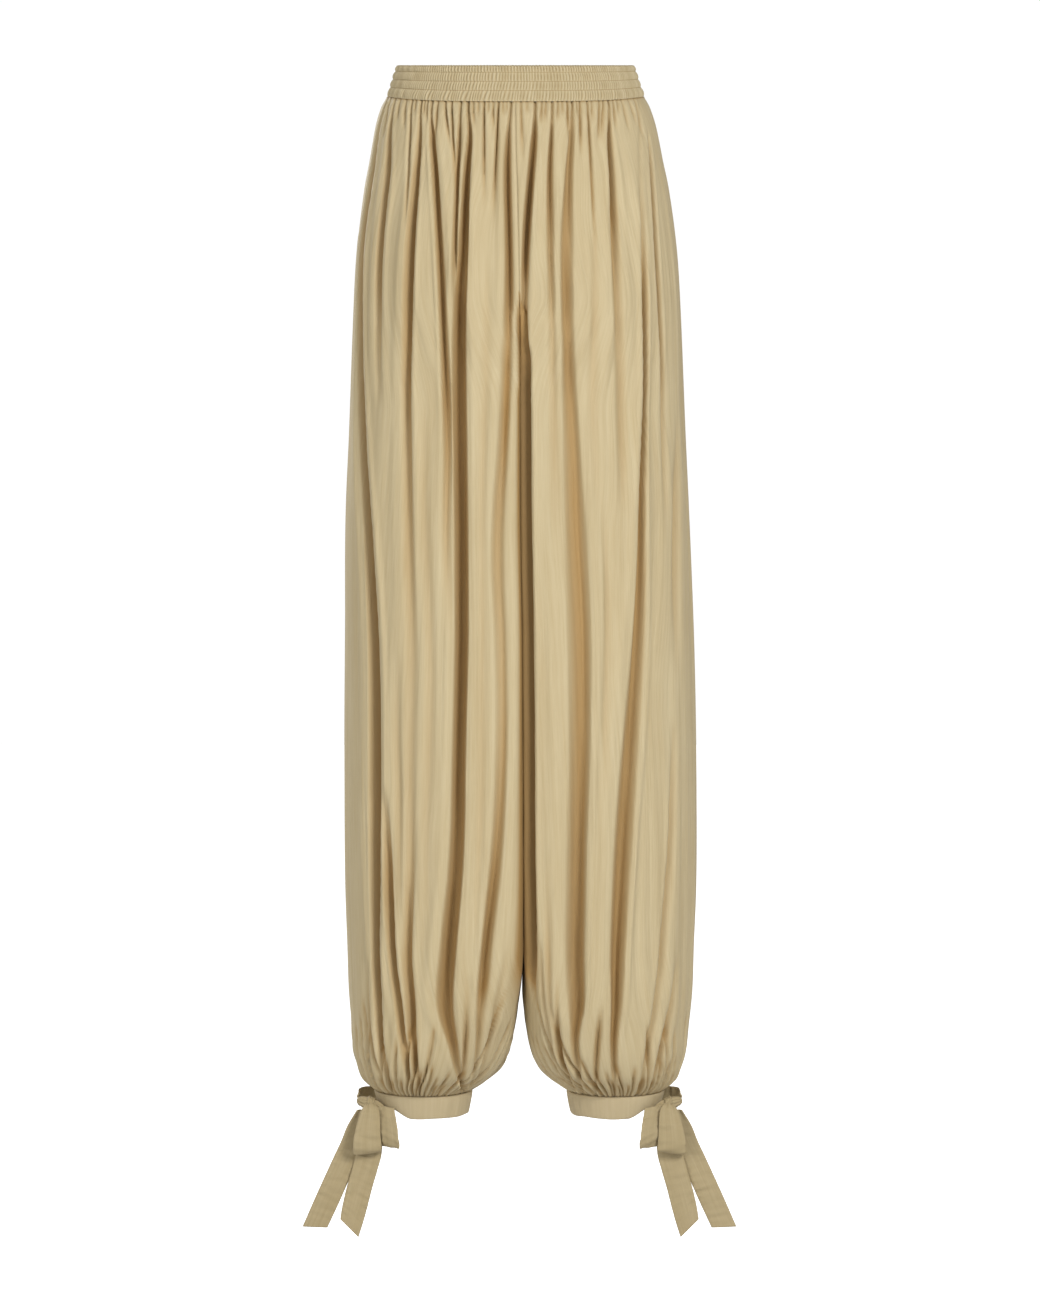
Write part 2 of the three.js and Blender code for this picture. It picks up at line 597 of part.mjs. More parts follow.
// The knot: a small twisted lump that the strips come out of.
function knot(side) {
  const rings = [];
  for (let i = 1; i < KNOT_LONG; i++) {
    const along = (i / KNOT_LONG) * Math.PI;
    const ring = [];
    for (let j = 0; j < KNOT_ROUND; j++) {
      const round = (j / KNOT_ROUND) * 2 * Math.PI;
      const girth = Math.sin(along) * (1 - KNOT_GROOVE * (1 + Math.cos(KNOT_GROOVES * round + 2 * along)));
      const point = new THREE.Vector3(
        -KNOT.long * Math.cos(along),
        KNOT.thick * girth * Math.cos(round),
        KNOT.tall * girth * Math.sin(round),
      );
      point.applyEuler(new THREE.Euler(0, degToRad(-KNOT.slope), degToRad(KNOT.swing), 'ZYX'));
      ring.push(new THREE.Vector3(side * (KNOT.x + point.x) + CUFF_SWAY, KNOT.y + point.y, KNOT.z + point.z));
    }
    rings.push(ring);
  }
  return closedSkin(rings, false);
}

// A named piece of the garment in its cloth.
function piece(name, geometry, look) {
  const mesh = new THREE.Mesh(geometry, new THREE.MeshStandardMaterial({ ...look, metalness: 0 }));
  mesh.name = name;
  return mesh;
}

const bloomers = new THREE.Group();
bloomers.add(piece('waistband', waistband(), cloths.band));
let seed = 1;
for (const [name, side] of [['left', 1], ['right', -1]]) {
  for (const face of ['front', 'back']) {
    const panel = `${name}_${face}`;
    bloomers.add(piece(`leg_${panel}`, legPanel(side, face, FOLDS[panel], seed), cloths.leg));
    seed += 5;
  }
  bloomers.add(piece(`cuff_${name}`, cuff(side), cloths.band));
  bloomers.add(piece(`knot_${name}`, knot(side), cloths.tie));
  for (const [part, rows] of Object.entries(BOW)) {
    bloomers.add(piece(`${part}_${name}`, strip(side, rows), cloths.tie));
  }
}

export default bloomers;
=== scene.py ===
"""Bloomer trousers: a shirred waistband, full gathered legs, and ankle cuffs tied in bows."""

import logging
import math
from dataclasses import dataclass, field
from enum import Enum
from typing import NamedTuple, Sequence

import bpy
import numpy as np
from mathutils import Matrix, Vector


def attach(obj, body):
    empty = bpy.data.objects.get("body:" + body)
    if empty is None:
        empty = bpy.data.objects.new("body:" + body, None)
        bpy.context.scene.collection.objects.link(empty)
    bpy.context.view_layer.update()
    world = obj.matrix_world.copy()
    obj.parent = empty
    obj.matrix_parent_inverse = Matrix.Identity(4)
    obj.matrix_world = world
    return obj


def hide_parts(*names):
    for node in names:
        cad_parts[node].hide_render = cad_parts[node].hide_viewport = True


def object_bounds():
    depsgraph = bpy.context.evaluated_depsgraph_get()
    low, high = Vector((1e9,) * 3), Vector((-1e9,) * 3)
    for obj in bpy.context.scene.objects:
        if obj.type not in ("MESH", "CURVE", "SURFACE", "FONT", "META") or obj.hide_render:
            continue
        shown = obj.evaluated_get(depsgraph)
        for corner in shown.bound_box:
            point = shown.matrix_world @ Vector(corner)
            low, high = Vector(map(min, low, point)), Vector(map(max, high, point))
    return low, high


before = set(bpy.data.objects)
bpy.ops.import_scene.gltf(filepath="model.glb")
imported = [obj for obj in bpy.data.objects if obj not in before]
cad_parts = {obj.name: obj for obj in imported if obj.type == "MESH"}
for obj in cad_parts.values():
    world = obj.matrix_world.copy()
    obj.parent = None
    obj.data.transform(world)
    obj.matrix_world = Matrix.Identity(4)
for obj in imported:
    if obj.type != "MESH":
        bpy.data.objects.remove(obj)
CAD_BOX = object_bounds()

MM = 0.001
BODY = "root"
CLOTH_MAP = "cloth"
# The mesh layer of painted shade: how deep in a fold, a seam or the split each point lies.
CREASE_SHADE_LAYER = "crease"

log = logging.getLogger("bloomers")


class Side(Enum):
    """The wearer's side of the garment: +X is the wearer's left."""

    LEFT = 1
    RIGHT = -1

    @property
    def word(self) -> str:
        """The side's name as the nodes spell it."""
        return self.name.lower()


class Face(Enum):
    """The front or the back of a leg: -Y is the front."""

    FRONT = 1
    BACK = -1

    @property
    def word(self) -> str:
        """The face's name as the nodes spell it."""
        return self.name.lower()


class Lie(Enum):
    """How a piece of cloth is held."""

    GATHERED = "gathered"
    HUNG = "hung"
    FOLDED = "folded"


class Row(NamedTuple):
    """One height of the leg's outline, in millimetres.

    sway is how far the garment hangs to one side, side half its width, front and back its depth, inner the
    distance from the middle to the inner leg, and the corners are shares of the section.
    """

    z: float
    sway: float
    side: float
    front: float
    back: float
    inner: float
    round_in: float
    round_out: float


OUTLINE = (
    Row(-18, 0, 129, 82.5, 82.5, 0.05, 0.1, 1),
    Row(-30, 0, 134.5, 87, 88, 0.05, 0.1, 0.99),
    Row(-47, 0.3, 140, 91, 93, 0.05, 0.1, 0.98),
    Row(-77, 0.7, 146.5, 96, 101, 0.05, 0.1, 0.94),
    Row(-107, 1, 152.5, 100, 108, 0.05, 0.1, 0.9),
    Row(-167, 1.3, 160, 105, 116, 0.05, 0.11, 0.84),
    Row(-227, 1.5, 163.5, 108, 119, 0.05, 0.11, 0.8),
    Row(-347, 1.8, 168, 109, 117, 0.05, 0.11, 0.76),
    Row(-437, 2, 172, 109, 114, 0.05, 0.12, 0.75),
    Row(-557, 3.8, 174.5, 109, 112, 0.05, 0.12, 0.75),
    Row(-677, 4.5, 176, 108, 110, 0.05, 0.14, 0.75),
    Row(-797, 5, 175.5, 106, 108, 0.05, 0.18, 0.73),
    Row(-867, 5, 173, 103, 105, 0.3, 0.26, 0.7),
    Row(-907, 5, 171.5, 99, 101, 1.6, 0.4, 0.66),
    Row(-937, 4.8, 169, 92, 94, 5.2, 0.55, 0.62),
    Row(-964, 4.5, 166, 81, 83, 11, 0.75, 0.57),
    Row(-983, 4.3, 160, 66, 68, 21, 0.9, 0.53),
    Row(-996, 4.1, 154, 49, 50, 35, 0.97, 0.51),
    Row(-1006, 4, 145, 36, 36, 47, 1, 0.5),
)

# The legs part from the middle seam between these two heights.
SPLIT_TOP = -215
CROTCH = -335

# The waist seam and the cuff seam, before the garment settles.
WAIST_LINE = -17.5
SEAM_TOP = -17.6
SEAM_LOW = -1005.8

# The waist and the cuffs hang lower in front, by these slopes, and the waist seam rises at the sides.
WAIST_TILT = 0.1
TILT_ENDS = -160
SIDE_LIFT = 4.0
LIFT_ENDS = -90
CUFF_TOP = -1006
CUFF_DIP = 0.16
DIP_STARTS = -946
CUFF_SWAY = 4.0

# How many points a quarter section has on the inner leg, its corner, the face and the side.
INNER_POINTS = 60
CORNER_POINTS = 60
FACE_POINTS = 60
SIDE_POINTS = 400

# The last point of the corner, and the one in it from which on the section runs away from the middle.
CORNER_END = INNER_POINTS + CORNER_POINTS - 1
CORNER_TURN = INNER_POINTS + CORNER_POINTS // 3


class Station(NamedTuple):
    """One height of a long fold, in millimetres.

    at is its distance from the middle of the garment, and inner and outer are how wide its slopes are
    towards the middle and away from it.
    """

    z: float
    at: float
    depth: float
    inner: float
    outer: float


@dataclass(frozen=True)
class Fold:
    """A long fold that hangs down a panel: a crease at flat 1, a rounded trough at 2, a flat one at 4."""

    flat: float
    stations: tuple[Station, ...]

    def read(self, name: str, z: np.ndarray) -> np.ndarray:
        """A smooth curve through one column of the fold's table.

        Args:
            name: the column's name.
            z: heights in millimetres.

        Returns:
            The value at each height.
        """
        heights = [station.z for station in self.stations]
        return along(heights, [getattr(station, name) for station in self.stations], z)


class Gather(NamedTuple):
    """A short gather at the waist, in millimetres.

    at and ends are how far from the middle it starts and fades out, and reach is how far down it runs.
    """

    at: float
    ends: float
    reach: float
    depth: float


def fold(flat: float, *stations: tuple[float, float, float, float, float]) -> Fold:
    """A long fold from plain rows of numbers, in the order of Station."""
    return Fold(flat, tuple(Station(*station) for station in stations))


LONG_FOLDS: dict[str, tuple[Fold, ...]] = {
    "right_front": (
        fold(3, (-22, 128, 3, 3, 3), (-52, 137, 7, 4, 4), (-97, 144.5, 11, 5, 5), (-167, 154, 15, 6, 7),
             (-267, 155.5, 19, 6, 8), (-367, 153, 22, 7, 9), (-467, 147.5, 24, 7, 10),
             (-567, 143.5, 25, 7, 11), (-667, 142, 26, 7, 12), (-767, 143, 26, 7, 11),
             (-867, 144, 20, 6, 7), (-917, 141.5, 14, 5, 6), (-957, 138, 10, 4, 5),
             (-1003, 127, 2, 3, 3)),
        fold(2.4, (-700, 134, 0, 5, 6), (-767, 131, 9, 6, 6), (-867, 125.5, 15, 4, 8),
             (-917, 119, 13, 3, 8), (-957, 114.5, 9, 3, 6), (-1003, 106, 2, 3, 3)),
        fold(2, (-22, 120, 3, 3, 3), (-52, 125, 9, 4, 4), (-97, 128, 12, 5, 6), (-167, 135, 12, 5, 7),
             (-217, 137, 10, 5, 7), (-267, 137.5, 5, 6, 8), (-330, 136, 0, 7, 8)),
        fold(2, (-22, 94, 3, 3, 3), (-52, 95, 8, 3, 4), (-97, 98.5, 12, 3, 6), (-167, 104, 14, 4, 8),
             (-267, 107.5, 13, 4, 9), (-367, 108, 9, 5, 10), (-467, 108, 6, 8, 9),
             (-567, 106.5, 4, 9, 9), (-667, 108, 3, 8, 9), (-767, 108.5, 5, 8, 8),
             (-867, 110.5, 11, 4, 9), (-917, 107, 13, 4, 8), (-957, 104.5, 10, 3, 7),
             (-1003, 98, 2, 3, 3)),
        fold(1.8, (-22, 83, 3, 3, 3), (-52, 83.5, 10, 5, 3), (-97, 81, 13, 6, 3),
             (-167, 77.5, 13, 7, 3), (-267, 73, 13, 8, 3), (-367, 69.5, 9, 8, 4), (-467, 70, 5, 7, 6),
             (-560, 68, 0, 7, 7)),
        fold(1.6, (-22, 54.5, 3, 3, 3), (-52, 56, 8, 3, 3), (-97, 58.5, 10, 3, 3), (-167, 61, 9, 3, 4),
             (-240, 62, 0, 4, 4)),
        fold(4, (-22, 47.5, 3, 3, 3), (-52, 46, 9, 3, 3), (-97, 49.5, 14, 4, 4), (-167, 52, 19, 5, 6),
             (-267, 56.5, 24, 7, 8), (-467, 56, 25, 7, 8), (-567, 56.5, 25, 7, 8), (-667, 59, 24, 7, 8),
             (-767, 62, 22, 7, 9), (-867, 70, 22, 7, 11), (-917, 71.5, 18, 6, 12), (-957, 64, 10, 4, 7),
             (-1003, 54, 2, 3, 3)),
        fold(2, (-22, 4.5, 1, 3, 3), (-52, 7, 8, 3, 4), (-97, 9, 12, 4, 5), (-167, 9.5, 12, 4, 5),
             (-217, 10, 11, 4, 6), (-267, 11.5, 8, 5, 7), (-367, 15.5, 8, 6, 7), (-467, 20.5, 7, 7, 8),
             (-567, 19, 6, 6, 8), (-667, 19.5, 7, 6, 8), (-767, 25, 10, 7, 6), (-867, 36, 14, 8, 4),
             (-917, 40, 9, 8, 4), (-957, 41.5, 6, 5, 3), (-1003, 50, 1, 3, 3)),
        fold(1.4, (-887, 53, 0, 4, 4), (-917, 53.5, 4, 4, 4), (-957, 54, 8, 4, 4),
             (-1003, 58, 2, 3, 3)),
        fold(1.4, (-857, 14, 0, 5, 5), (-917, 23, 4, 5, 6), (-957, 31, 5, 5, 6), (-1000, 47, 1, 3, 3)),
        fold(1.4, (-867, 151, 0, 4, 5), (-917, 151, 5, 4, 5), (-957, 147, 8, 3, 5),
             (-1003, 131, 2, 3, 3)),
        fold(1.8, (-300, 90, 0, 8, 8), (-420, 92, 2.4, 9, 9), (-600, 88, 2.6, 9, 9),
             (-760, 93, 2, 9, 9), (-870, 92, 0, 8, 8)),
        fold(1.8, (-560, 120, 0, 6, 6), (-640, 122, 2.4, 7, 7), (-760, 120, 2.6, 8, 7),
             (-860, 124, 0, 6, 6)),
        fold(1.6, (-180, 30, 0, 6, 6), (-260, 31, 2.6, 6, 6), (-420, 35, 2.4, 7, 7),
             (-600, 37, 2, 8, 7), (-740, 40, 2.4, 7, 7), (-880, 48, 0, 6, 6)),
    ),
    "left_front": (
        fold(2.4, (-22, 20, 3, 3, 3), (-52, 18.5, 10, 4, 4), (-97, 14.5, 15, 5, 4),
             (-137, 11, 16, 6, 4), (-177, 7.5, 13, 5.5, 4), (-217, 5, 8, 5, 4.5), (-277, 1.5, 14, 4, 5),
             (-367, 0.3, 20, 4, 5.5), (-567, 0.3, 20, 4, 5.5), (-767, 2, 18, 4, 5.5),
             (-860, 4, 12, 4, 5), (-920, 6, 0, 4, 5)),
        fold(1.6, (-22, 37, 3, 3, 3), (-52, 35.5, 8, 3, 3), (-97, 33, 10, 4, 4), (-167, 32.5, 8, 5, 5),
             (-267, 34, 4, 6, 6), (-367, 36, 3, 8, 8), (-450, 37, 0, 8, 8)),
        fold(2.6, (-22, 56.5, 3, 3, 3), (-52, 55, 7, 3, 4), (-97, 52, 9, 5, 5), (-167, 49, 10, 7, 8),
             (-267, 50, 10, 7, 8), (-367, 56, 10, 12, 8), (-467, 60, 12, 15, 10), (-567, 63, 14, 17, 9),
             (-667, 63, 15, 17, 7), (-767, 61, 17, 17, 5), (-867, 59.5, 19, 17, 4),
             (-917, 59.5, 16, 14, 4), (-937, 56, 12, 8, 4), (-957, 54.5, 9, 6, 4),
             (-1003, 62, 2, 3, 3)),
        fold(1.8, (-22, 93, 3, 3, 3), (-52, 92.5, 10, 3, 4), (-97, 94, 13, 3, 6), (-167, 96.5, 9, 5, 8),
             (-267, 101, 5, 8, 8), (-367, 103.5, 4, 9, 9), (-440, 104, 0, 9, 9)),
        fold(2.4, (-97, 123, 1, 4, 4), (-167, 125.5, 6, 4, 4), (-237, 127, 12, 4, 3),
             (-317, 127, 14, 4, 3), (-367, 126, 13, 5, 3), (-467, 123.5, 12, 7, 4),
             (-567, 119, 13, 12, 6), (-667, 112.5, 15, 15, 6), (-767, 106, 17, 16, 5),
             (-867, 99, 18, 12, 5), (-917, 96, 15, 8, 5), (-957, 93, 10, 5, 4), (-1003, 95, 2, 3, 3)),
        fold(1.5, (-47, 131, 0, 2.5, 2.5), (-77, 134, 7, 2.5, 3), (-97, 135, 10, 3, 3),
             (-167, 138.5, 12, 3, 3), (-267, 143, 9, 3, 4), (-367, 145.5, 4, 6, 6),
             (-450, 147, 0, 7, 7)),
        fold(1.8, (-330, 158, 0, 8, 8), (-400, 158, 4, 8, 8), (-500, 156, 4, 9, 8),
             (-600, 155, 0, 9, 8)),
        fold(1.8, (-630, 152, 0, 4, 8), (-700, 150, 4, 3, 9), (-767, 147, 6, 3, 9),
             (-867, 139, 6, 3, 9), (-917, 134, 5, 4, 7), (-957, 127, 6, 4, 6), (-1003, 118, 2, 3, 3)),
        fold(1.8, (-867, 156, 0, 6, 6), (-917, 150, 6, 5, 7), (-957, 141, 9, 4, 6),
             (-1003, 128, 2, 3, 3)),
        fold(1.4, (-880, 36, 0, 4, 4), (-917, 36, 4, 4, 4), (-957, 38, 9, 4, 4), (-1003, 56, 2, 3, 3)),
        fold(1.4, (-850, 12, 0, 6, 6), (-900, 17, 3.5, 6, 6), (-940, 26, 4, 6, 6), (-985, 38, 1, 4, 4)),
        fold(1.6, (-760, 26, 0, 8, 8), (-840, 26, 2.6, 9, 7), (-920, 30, 4, 8, 5), (-980, 44, 1, 4, 4)),
        fold(1.5, (-915, 80, 0, 4, 4), (-945, 77, 8, 4, 4), (-975, 75, 7, 4, 4), (-1003, 76, 2, 3, 3)),
        fold(1.8, (-420, 85, 0, 5, 5), (-520, 86, 3, 4, 7), (-640, 84, 2.6, 5, 8), (-720, 84, 0, 6, 6)),
        fold(1.8, (-150, 76, 0, 6, 6), (-220, 77, 3, 6, 7), (-330, 75, 2.4, 8, 8), (-440, 80, 0, 7, 7)),
    ),
    "right_back": (
        fold(2.4, (-22, 10, 2, 3, 3), (-60, 11, 7, 4, 4), (-120, 13, 9, 5, 6), (-200, 15, 9, 6, 7),
             (-317, 17, 9, 6, 9), (-500, 18, 11, 7, 10), (-700, 24, 8, 8, 9), (-867, 34, 7, 8, 7),
             (-950, 42, 5, 6, 5), (-1003, 52, 1, 3, 3)),
        fold(3.4, (-22, 38, 2, 3, 3), (-60, 40, 9, 4, 4), (-120, 43, 14, 6, 6), (-200, 46, 17, 8, 8),
             (-317, 51, 20, 9, 9), (-500, 53, 22, 8, 10), (-700, 58, 20, 8, 11), (-867, 60, 18, 7, 10),
             (-950, 62, 11, 5, 7), (-1003, 63, 2, 3, 3)),
        fold(2, (-22, 80, 3, 3, 3), (-60, 78, 10, 4, 4), (-120, 76, 13, 4, 7), (-200, 79, 13, 5, 8),
             (-317, 84, 9, 6, 9), (-420, 88, 4, 8, 9), (-520, 90, 0, 8, 8)),
        fold(2, (-600, 90, 0, 7, 7), (-700, 88, 6, 9, 5), (-867, 84, 10, 10, 4), (-950, 82, 10, 7, 4),
             (-1003, 80, 2, 3, 3)),
        fold(2.6, (-22, 103, 3, 3, 3), (-60, 108, 8, 4, 3), (-120, 113, 9, 6, 4), (-200, 118, 11, 8, 4),
             (-317, 122, 15, 9, 5), (-500, 120, 18, 12, 6), (-700, 120, 16, 13, 6),
             (-867, 114, 16, 11, 5), (-950, 106, 12, 7, 4), (-1003, 101, 2, 3, 3)),
        fold(1.6, (-40, 132, 0, 3, 3), (-90, 141, 9, 3, 4), (-150, 146, 12, 4, 4), (-230, 150, 9, 4, 6),
             (-317, 153, 5, 6, 8), (-420, 154, 0, 7, 8)),
        fold(2.2, (-560, 156, 0, 8, 8), (-680, 154, 9, 5, 10), (-790, 151, 12, 5, 10),
             (-867, 148, 12, 4, 9), (-950, 138, 10, 4, 7), (-1003, 126, 2, 3, 3)),
        fold(2.2, (-150, 158, 2, 6, 6), (-250, 160.5, 8, 7, 7), (-400, 165, 11, 8, 8),
             (-520, 168, 10, 8, 8), (-700, 170, 6, 9, 8), (-800, 169, 0, 8, 8)),
        fold(1.6, (-40, 60, 0, 3, 3), (-80, 60, 6, 3, 3), (-140, 62, 6, 4, 4), (-210, 66, 0, 4, 4)),
        fold(1.6, (-380, 32, 0, 6, 6), (-480, 34, 3, 7, 7), (-640, 38, 3, 8, 7), (-760, 42, 0, 7, 7)),
        fold(1.5, (-890, 98, 0, 4, 4), (-945, 95, 8, 4, 4), (-1003, 90, 2, 3, 3)),
        fold(1.5, (-880, 24, 0, 5, 5), (-930, 30, 4, 5, 5), (-985, 48, 1, 4, 4)),
        fold(1.5, (-880, 160, 0, 5, 5), (-930, 156, 7, 5, 5), (-970, 149, 6, 4, 4),
             (-1003, 135, 2, 3, 3)),
    ),
    "left_back": (
        fold(2.2, (-22, 20, 2, 3, 3), (-60, 19, 8, 4, 4), (-120, 17, 12, 6, 5), (-200, 15, 12, 6, 6),
             (-317, 18, 8, 7, 8), (-420, 22, 5, 8, 8), (-500, 24, 6, 8, 8), (-700, 22, 8, 8, 8),
             (-867, 30, 9, 8, 6), (-950, 41, 5, 6, 4), (-1003, 54, 1, 3, 3)),
        fold(3, (-22, 46, 2, 3, 3), (-60, 47, 7, 3, 4), (-120, 50, 9, 5, 6), (-200, 55, 12, 7, 8),
             (-317, 60, 17, 10, 9), (-500, 58, 20, 10, 9), (-700, 52, 17, 9, 10), (-867, 58, 14, 8, 9),
             (-950, 62, 9, 5, 6), (-1003, 64, 2, 3, 3)),
        fold(2.8, (-22, 85, 3, 3, 3), (-60, 88, 11, 4, 4), (-120, 90, 15, 6, 6), (-200, 88, 18, 8, 7),
             (-317, 92, 15, 9, 8), (-500, 96, 17, 12, 7), (-700, 95, 20, 13, 6), (-867, 90, 20, 12, 5),
             (-950, 86, 13, 7, 4), (-1003, 82, 2, 3, 3)),
        fold(1.8, (-22, 108, 3, 3, 3), (-60, 115, 8, 3, 4), (-120, 122, 9, 4, 6), (-200, 128, 8, 6, 7),
             (-317, 131, 5, 8, 8), (-430, 132, 0, 8, 8)),
        fold(2, (-640, 128, 0, 8, 8), (-760, 124, 7, 6, 9), (-867, 118, 11, 4, 9),
             (-950, 110, 11, 4, 7), (-1003, 105, 2, 3, 3)),
        fold(2.4, (-40, 133, 0, 3, 3), (-80, 141, 8, 4, 4), (-150, 150, 11, 5, 5),
             (-230, 157, 12, 6, 6), (-317, 160, 15, 8, 8), (-500, 158, 17, 8, 10),
             (-700, 157, 15, 8, 10), (-867, 152, 11, 5, 9), (-950, 142, 9, 4, 6),
             (-1003, 129, 2, 3, 3)),
        fold(1.8, (-480, 170, 2, 8, 8), (-640, 172, 8, 8, 7), (-760, 171, 8, 8, 7),
             (-867, 168, 6, 7, 6), (-950, 160, 6, 5, 5), (-1003, 141, 1, 3, 3)),
        fold(1.5, (-40, 66, 0, 3, 3), (-80, 66, 7, 3, 3), (-130, 68, 6, 4, 4), (-190, 71, 0, 4, 4)),
        fold(1.5, (-40, 33, 0, 3, 3), (-80, 33, 7, 3, 3), (-150, 34, 6, 4, 4), (-240, 36, 0, 5, 5)),
        fold(1.5, (-880, 74, 0, 4, 4), (-940, 73, 8, 4, 4), (-1003, 74, 2, 3, 3)),
        fold(1.5, (-880, 20, 0, 6, 6), (-930, 27, 4, 5, 5), (-985, 47, 1, 4, 4)),
        fold(1.8, (-400, 77, 0, 7, 7), (-520, 76, 3, 8, 8), (-660, 74, 3, 8, 8), (-780, 76, 0, 7, 7)),
    ),
}

# The waist gathers of the front panels, and how many the back panels have.
WAIST_GATHERS: dict[str, tuple[Gather, ...]] = {
    "right_front": (
        Gather(124.5, 133, 45, 3.6), Gather(115, 118, 24, 3), Gather(109, 111, 34, 3.6),
        Gather(103, 111, 150, 6.5), Gather(99.5, 100, 16, 3), Gather(90.5, 91, 20, 3),
        Gather(87.5, 88, 26, 3.4), Gather(77, 81, 50, 4.4), Gather(70, 64.5, 56, 4.8),
        Gather(63.5, 60, 105, 5.4), Gather(42, 41, 32, 3.4), Gather(37, 37, 18, 3),
        Gather(31, 33, 130, 5), Gather(27, 26.5, 16, 2.8), Gather(22, 22, 38, 3.6),
        Gather(16.5, 25, 145, 6), Gather(12.5, 12, 17, 2.8), Gather(8.8, 8.5, 15, 2.6),
    ),
    "left_front": (
        Gather(5.5, 6.5, 70, 3.4), Gather(11.5, 11.5, 14, 2.8), Gather(26.5, 24.5, 28, 3.6),
        Gather(30.5, 28.5, 24, 3.4), Gather(42.5, 41, 24, 3.2), Gather(46.5, 46, 17, 2.8),
        Gather(51.5, 52.5, 46, 4.4), Gather(61, 61, 20, 3), Gather(64, 64, 66, 4.8),
        Gather(71.5, 79, 190, 5.4), Gather(76, 75, 26, 3.2), Gather(83.5, 81, 52, 4.2),
        Gather(87.5, 84, 44, 4), Gather(97, 99, 34, 3.8), Gather(101.5, 101.5, 18, 2.8),
        Gather(105.5, 113, 36, 2.8), Gather(112.5, 121, 30, 2.6), Gather(118.5, 128, 46, 3.6),
    ),
}
BACK_GATHERS = 19
CUFF_GATHERS = 37

# The legs touch along the split from its start down to here.
MIDDLE_OPENS = -862

# How wide the dark of the split shows beside the front of the left leg.
SPLIT_SHOWS = 7.0

# A fold that starts above this height is caught in the waist seam.
CAUGHT = -30


def along(heights: Sequence[float], values: Sequence[float], z: np.ndarray) -> np.ndarray:
    """A smooth curve through values given at falling heights.

    Args:
        heights: falling heights.
        values: the value at each of them.
        z: the heights to read, of any shape.

    Returns:
        The value at each height in z.
    """
    high, value = np.asarray(heights, float), np.asarray(values, float)
    last = len(high) - 1
    ahead, behind = np.minimum(np.arange(last + 1) + 1, last), np.maximum(np.arange(last + 1) - 1, 0)
    slope = (value[ahead] - value[behind]) / (high[ahead] - high[behind])
    level = np.clip(z, high[-1], high[0])
    i = np.clip(np.searchsorted(-high, -level, side="right") - 1, 0, last - 1)
    span = high[i + 1] - high[i]
    t = (level - high[i]) / span
    before, after = slope[i] * span, slope[i + 1] * span
    cubic = 2 * (value[i] - value[i + 1]) + before + after
    square = 3 * (value[i + 1] - value[i]) - 2 * before - after
    return ((cubic * t + square) * t + before) * t + value[i]


def ease(value: np.ndarray, low: float, high: float) -> np.ndarray:
    """A smooth rise from 0 at low to 1 at high, which may be below low."""
    t = np.clip((value - low) / (high - low), 0, 1)
    return t * t * (3 - 2 * t)


def bulge(away: np.ndarray, starts: float, full: float, fades: float, ends: float) -> np.ndarray:
    """A swelling beside a seam, from 0 to 1, by the distance from the seam.

    Args:
        away: distances from the seam.
        starts: where it starts to rise.
        full: where it is full.
        fades: where it starts to fade.
        ends: where it has gone.

    Returns:
        Its share at each distance.
    """
    return ease(away, starts, full) * (1 - ease(away, fades, ends))


def trough(off: np.ndarray, inner: np.ndarray, outer: np.ndarray,
           flat: float) -> tuple[np.ndarray, np.ndarray]:
    """The section of a fold, 1 at its middle, with a slight swell of the cloth beside it.

    Args:
        off: the distance from its middle, positive away from the middle of the garment.
        inner: how wide it is towards the middle of the garment.
        outer: how wide it is on the other side.
        flat: 1 for a crease, 4 for a flat-bottomed trough.

    Returns:
        The share of its depth at each distance, and how far inside the fold that is, from 0 to 1.
    """
    swell, reach = 0.1, 1.5
    t = np.abs(off) / np.where(off < 0, inner, outer)
    inside = (1 - np.clip(t, 0, 1) ** flat) ** 2
    beside = np.clip((t - 1) / reach, 0, 1)
    return inside - swell * np.sin(np.pi * beside) ** 2, inside


def drift(u: np.ndarray, z: np.ndarray, wide: float, tall: float, seed: int, waves: int = 9) -> np.ndarray:
    """Smooth unevenness between about -1 and 1.

    Args:
        u: positions across the cloth, in millimetres.
        z: heights, in millimetres.
        wide: how wide its patches are.
        tall: how tall they are.
        seed: which unevenness it is.
        waves: how many waves it is made of.

    Returns:
        The unevenness at each point.
    """
    draw = np.random.default_rng(seed)
    usual_peak = 1.6
    total = np.zeros(np.broadcast(u, z).shape)
    for _ in range(waves):
        across = draw.uniform(0.6, 1.7) * math.pi / wide
        down = draw.uniform(-1.2, 1.2) * math.pi / tall
        total += np.sin(across * u + down * z + draw.uniform(0, math.tau))
    return total / math.sqrt(waves / 2) / usual_peak


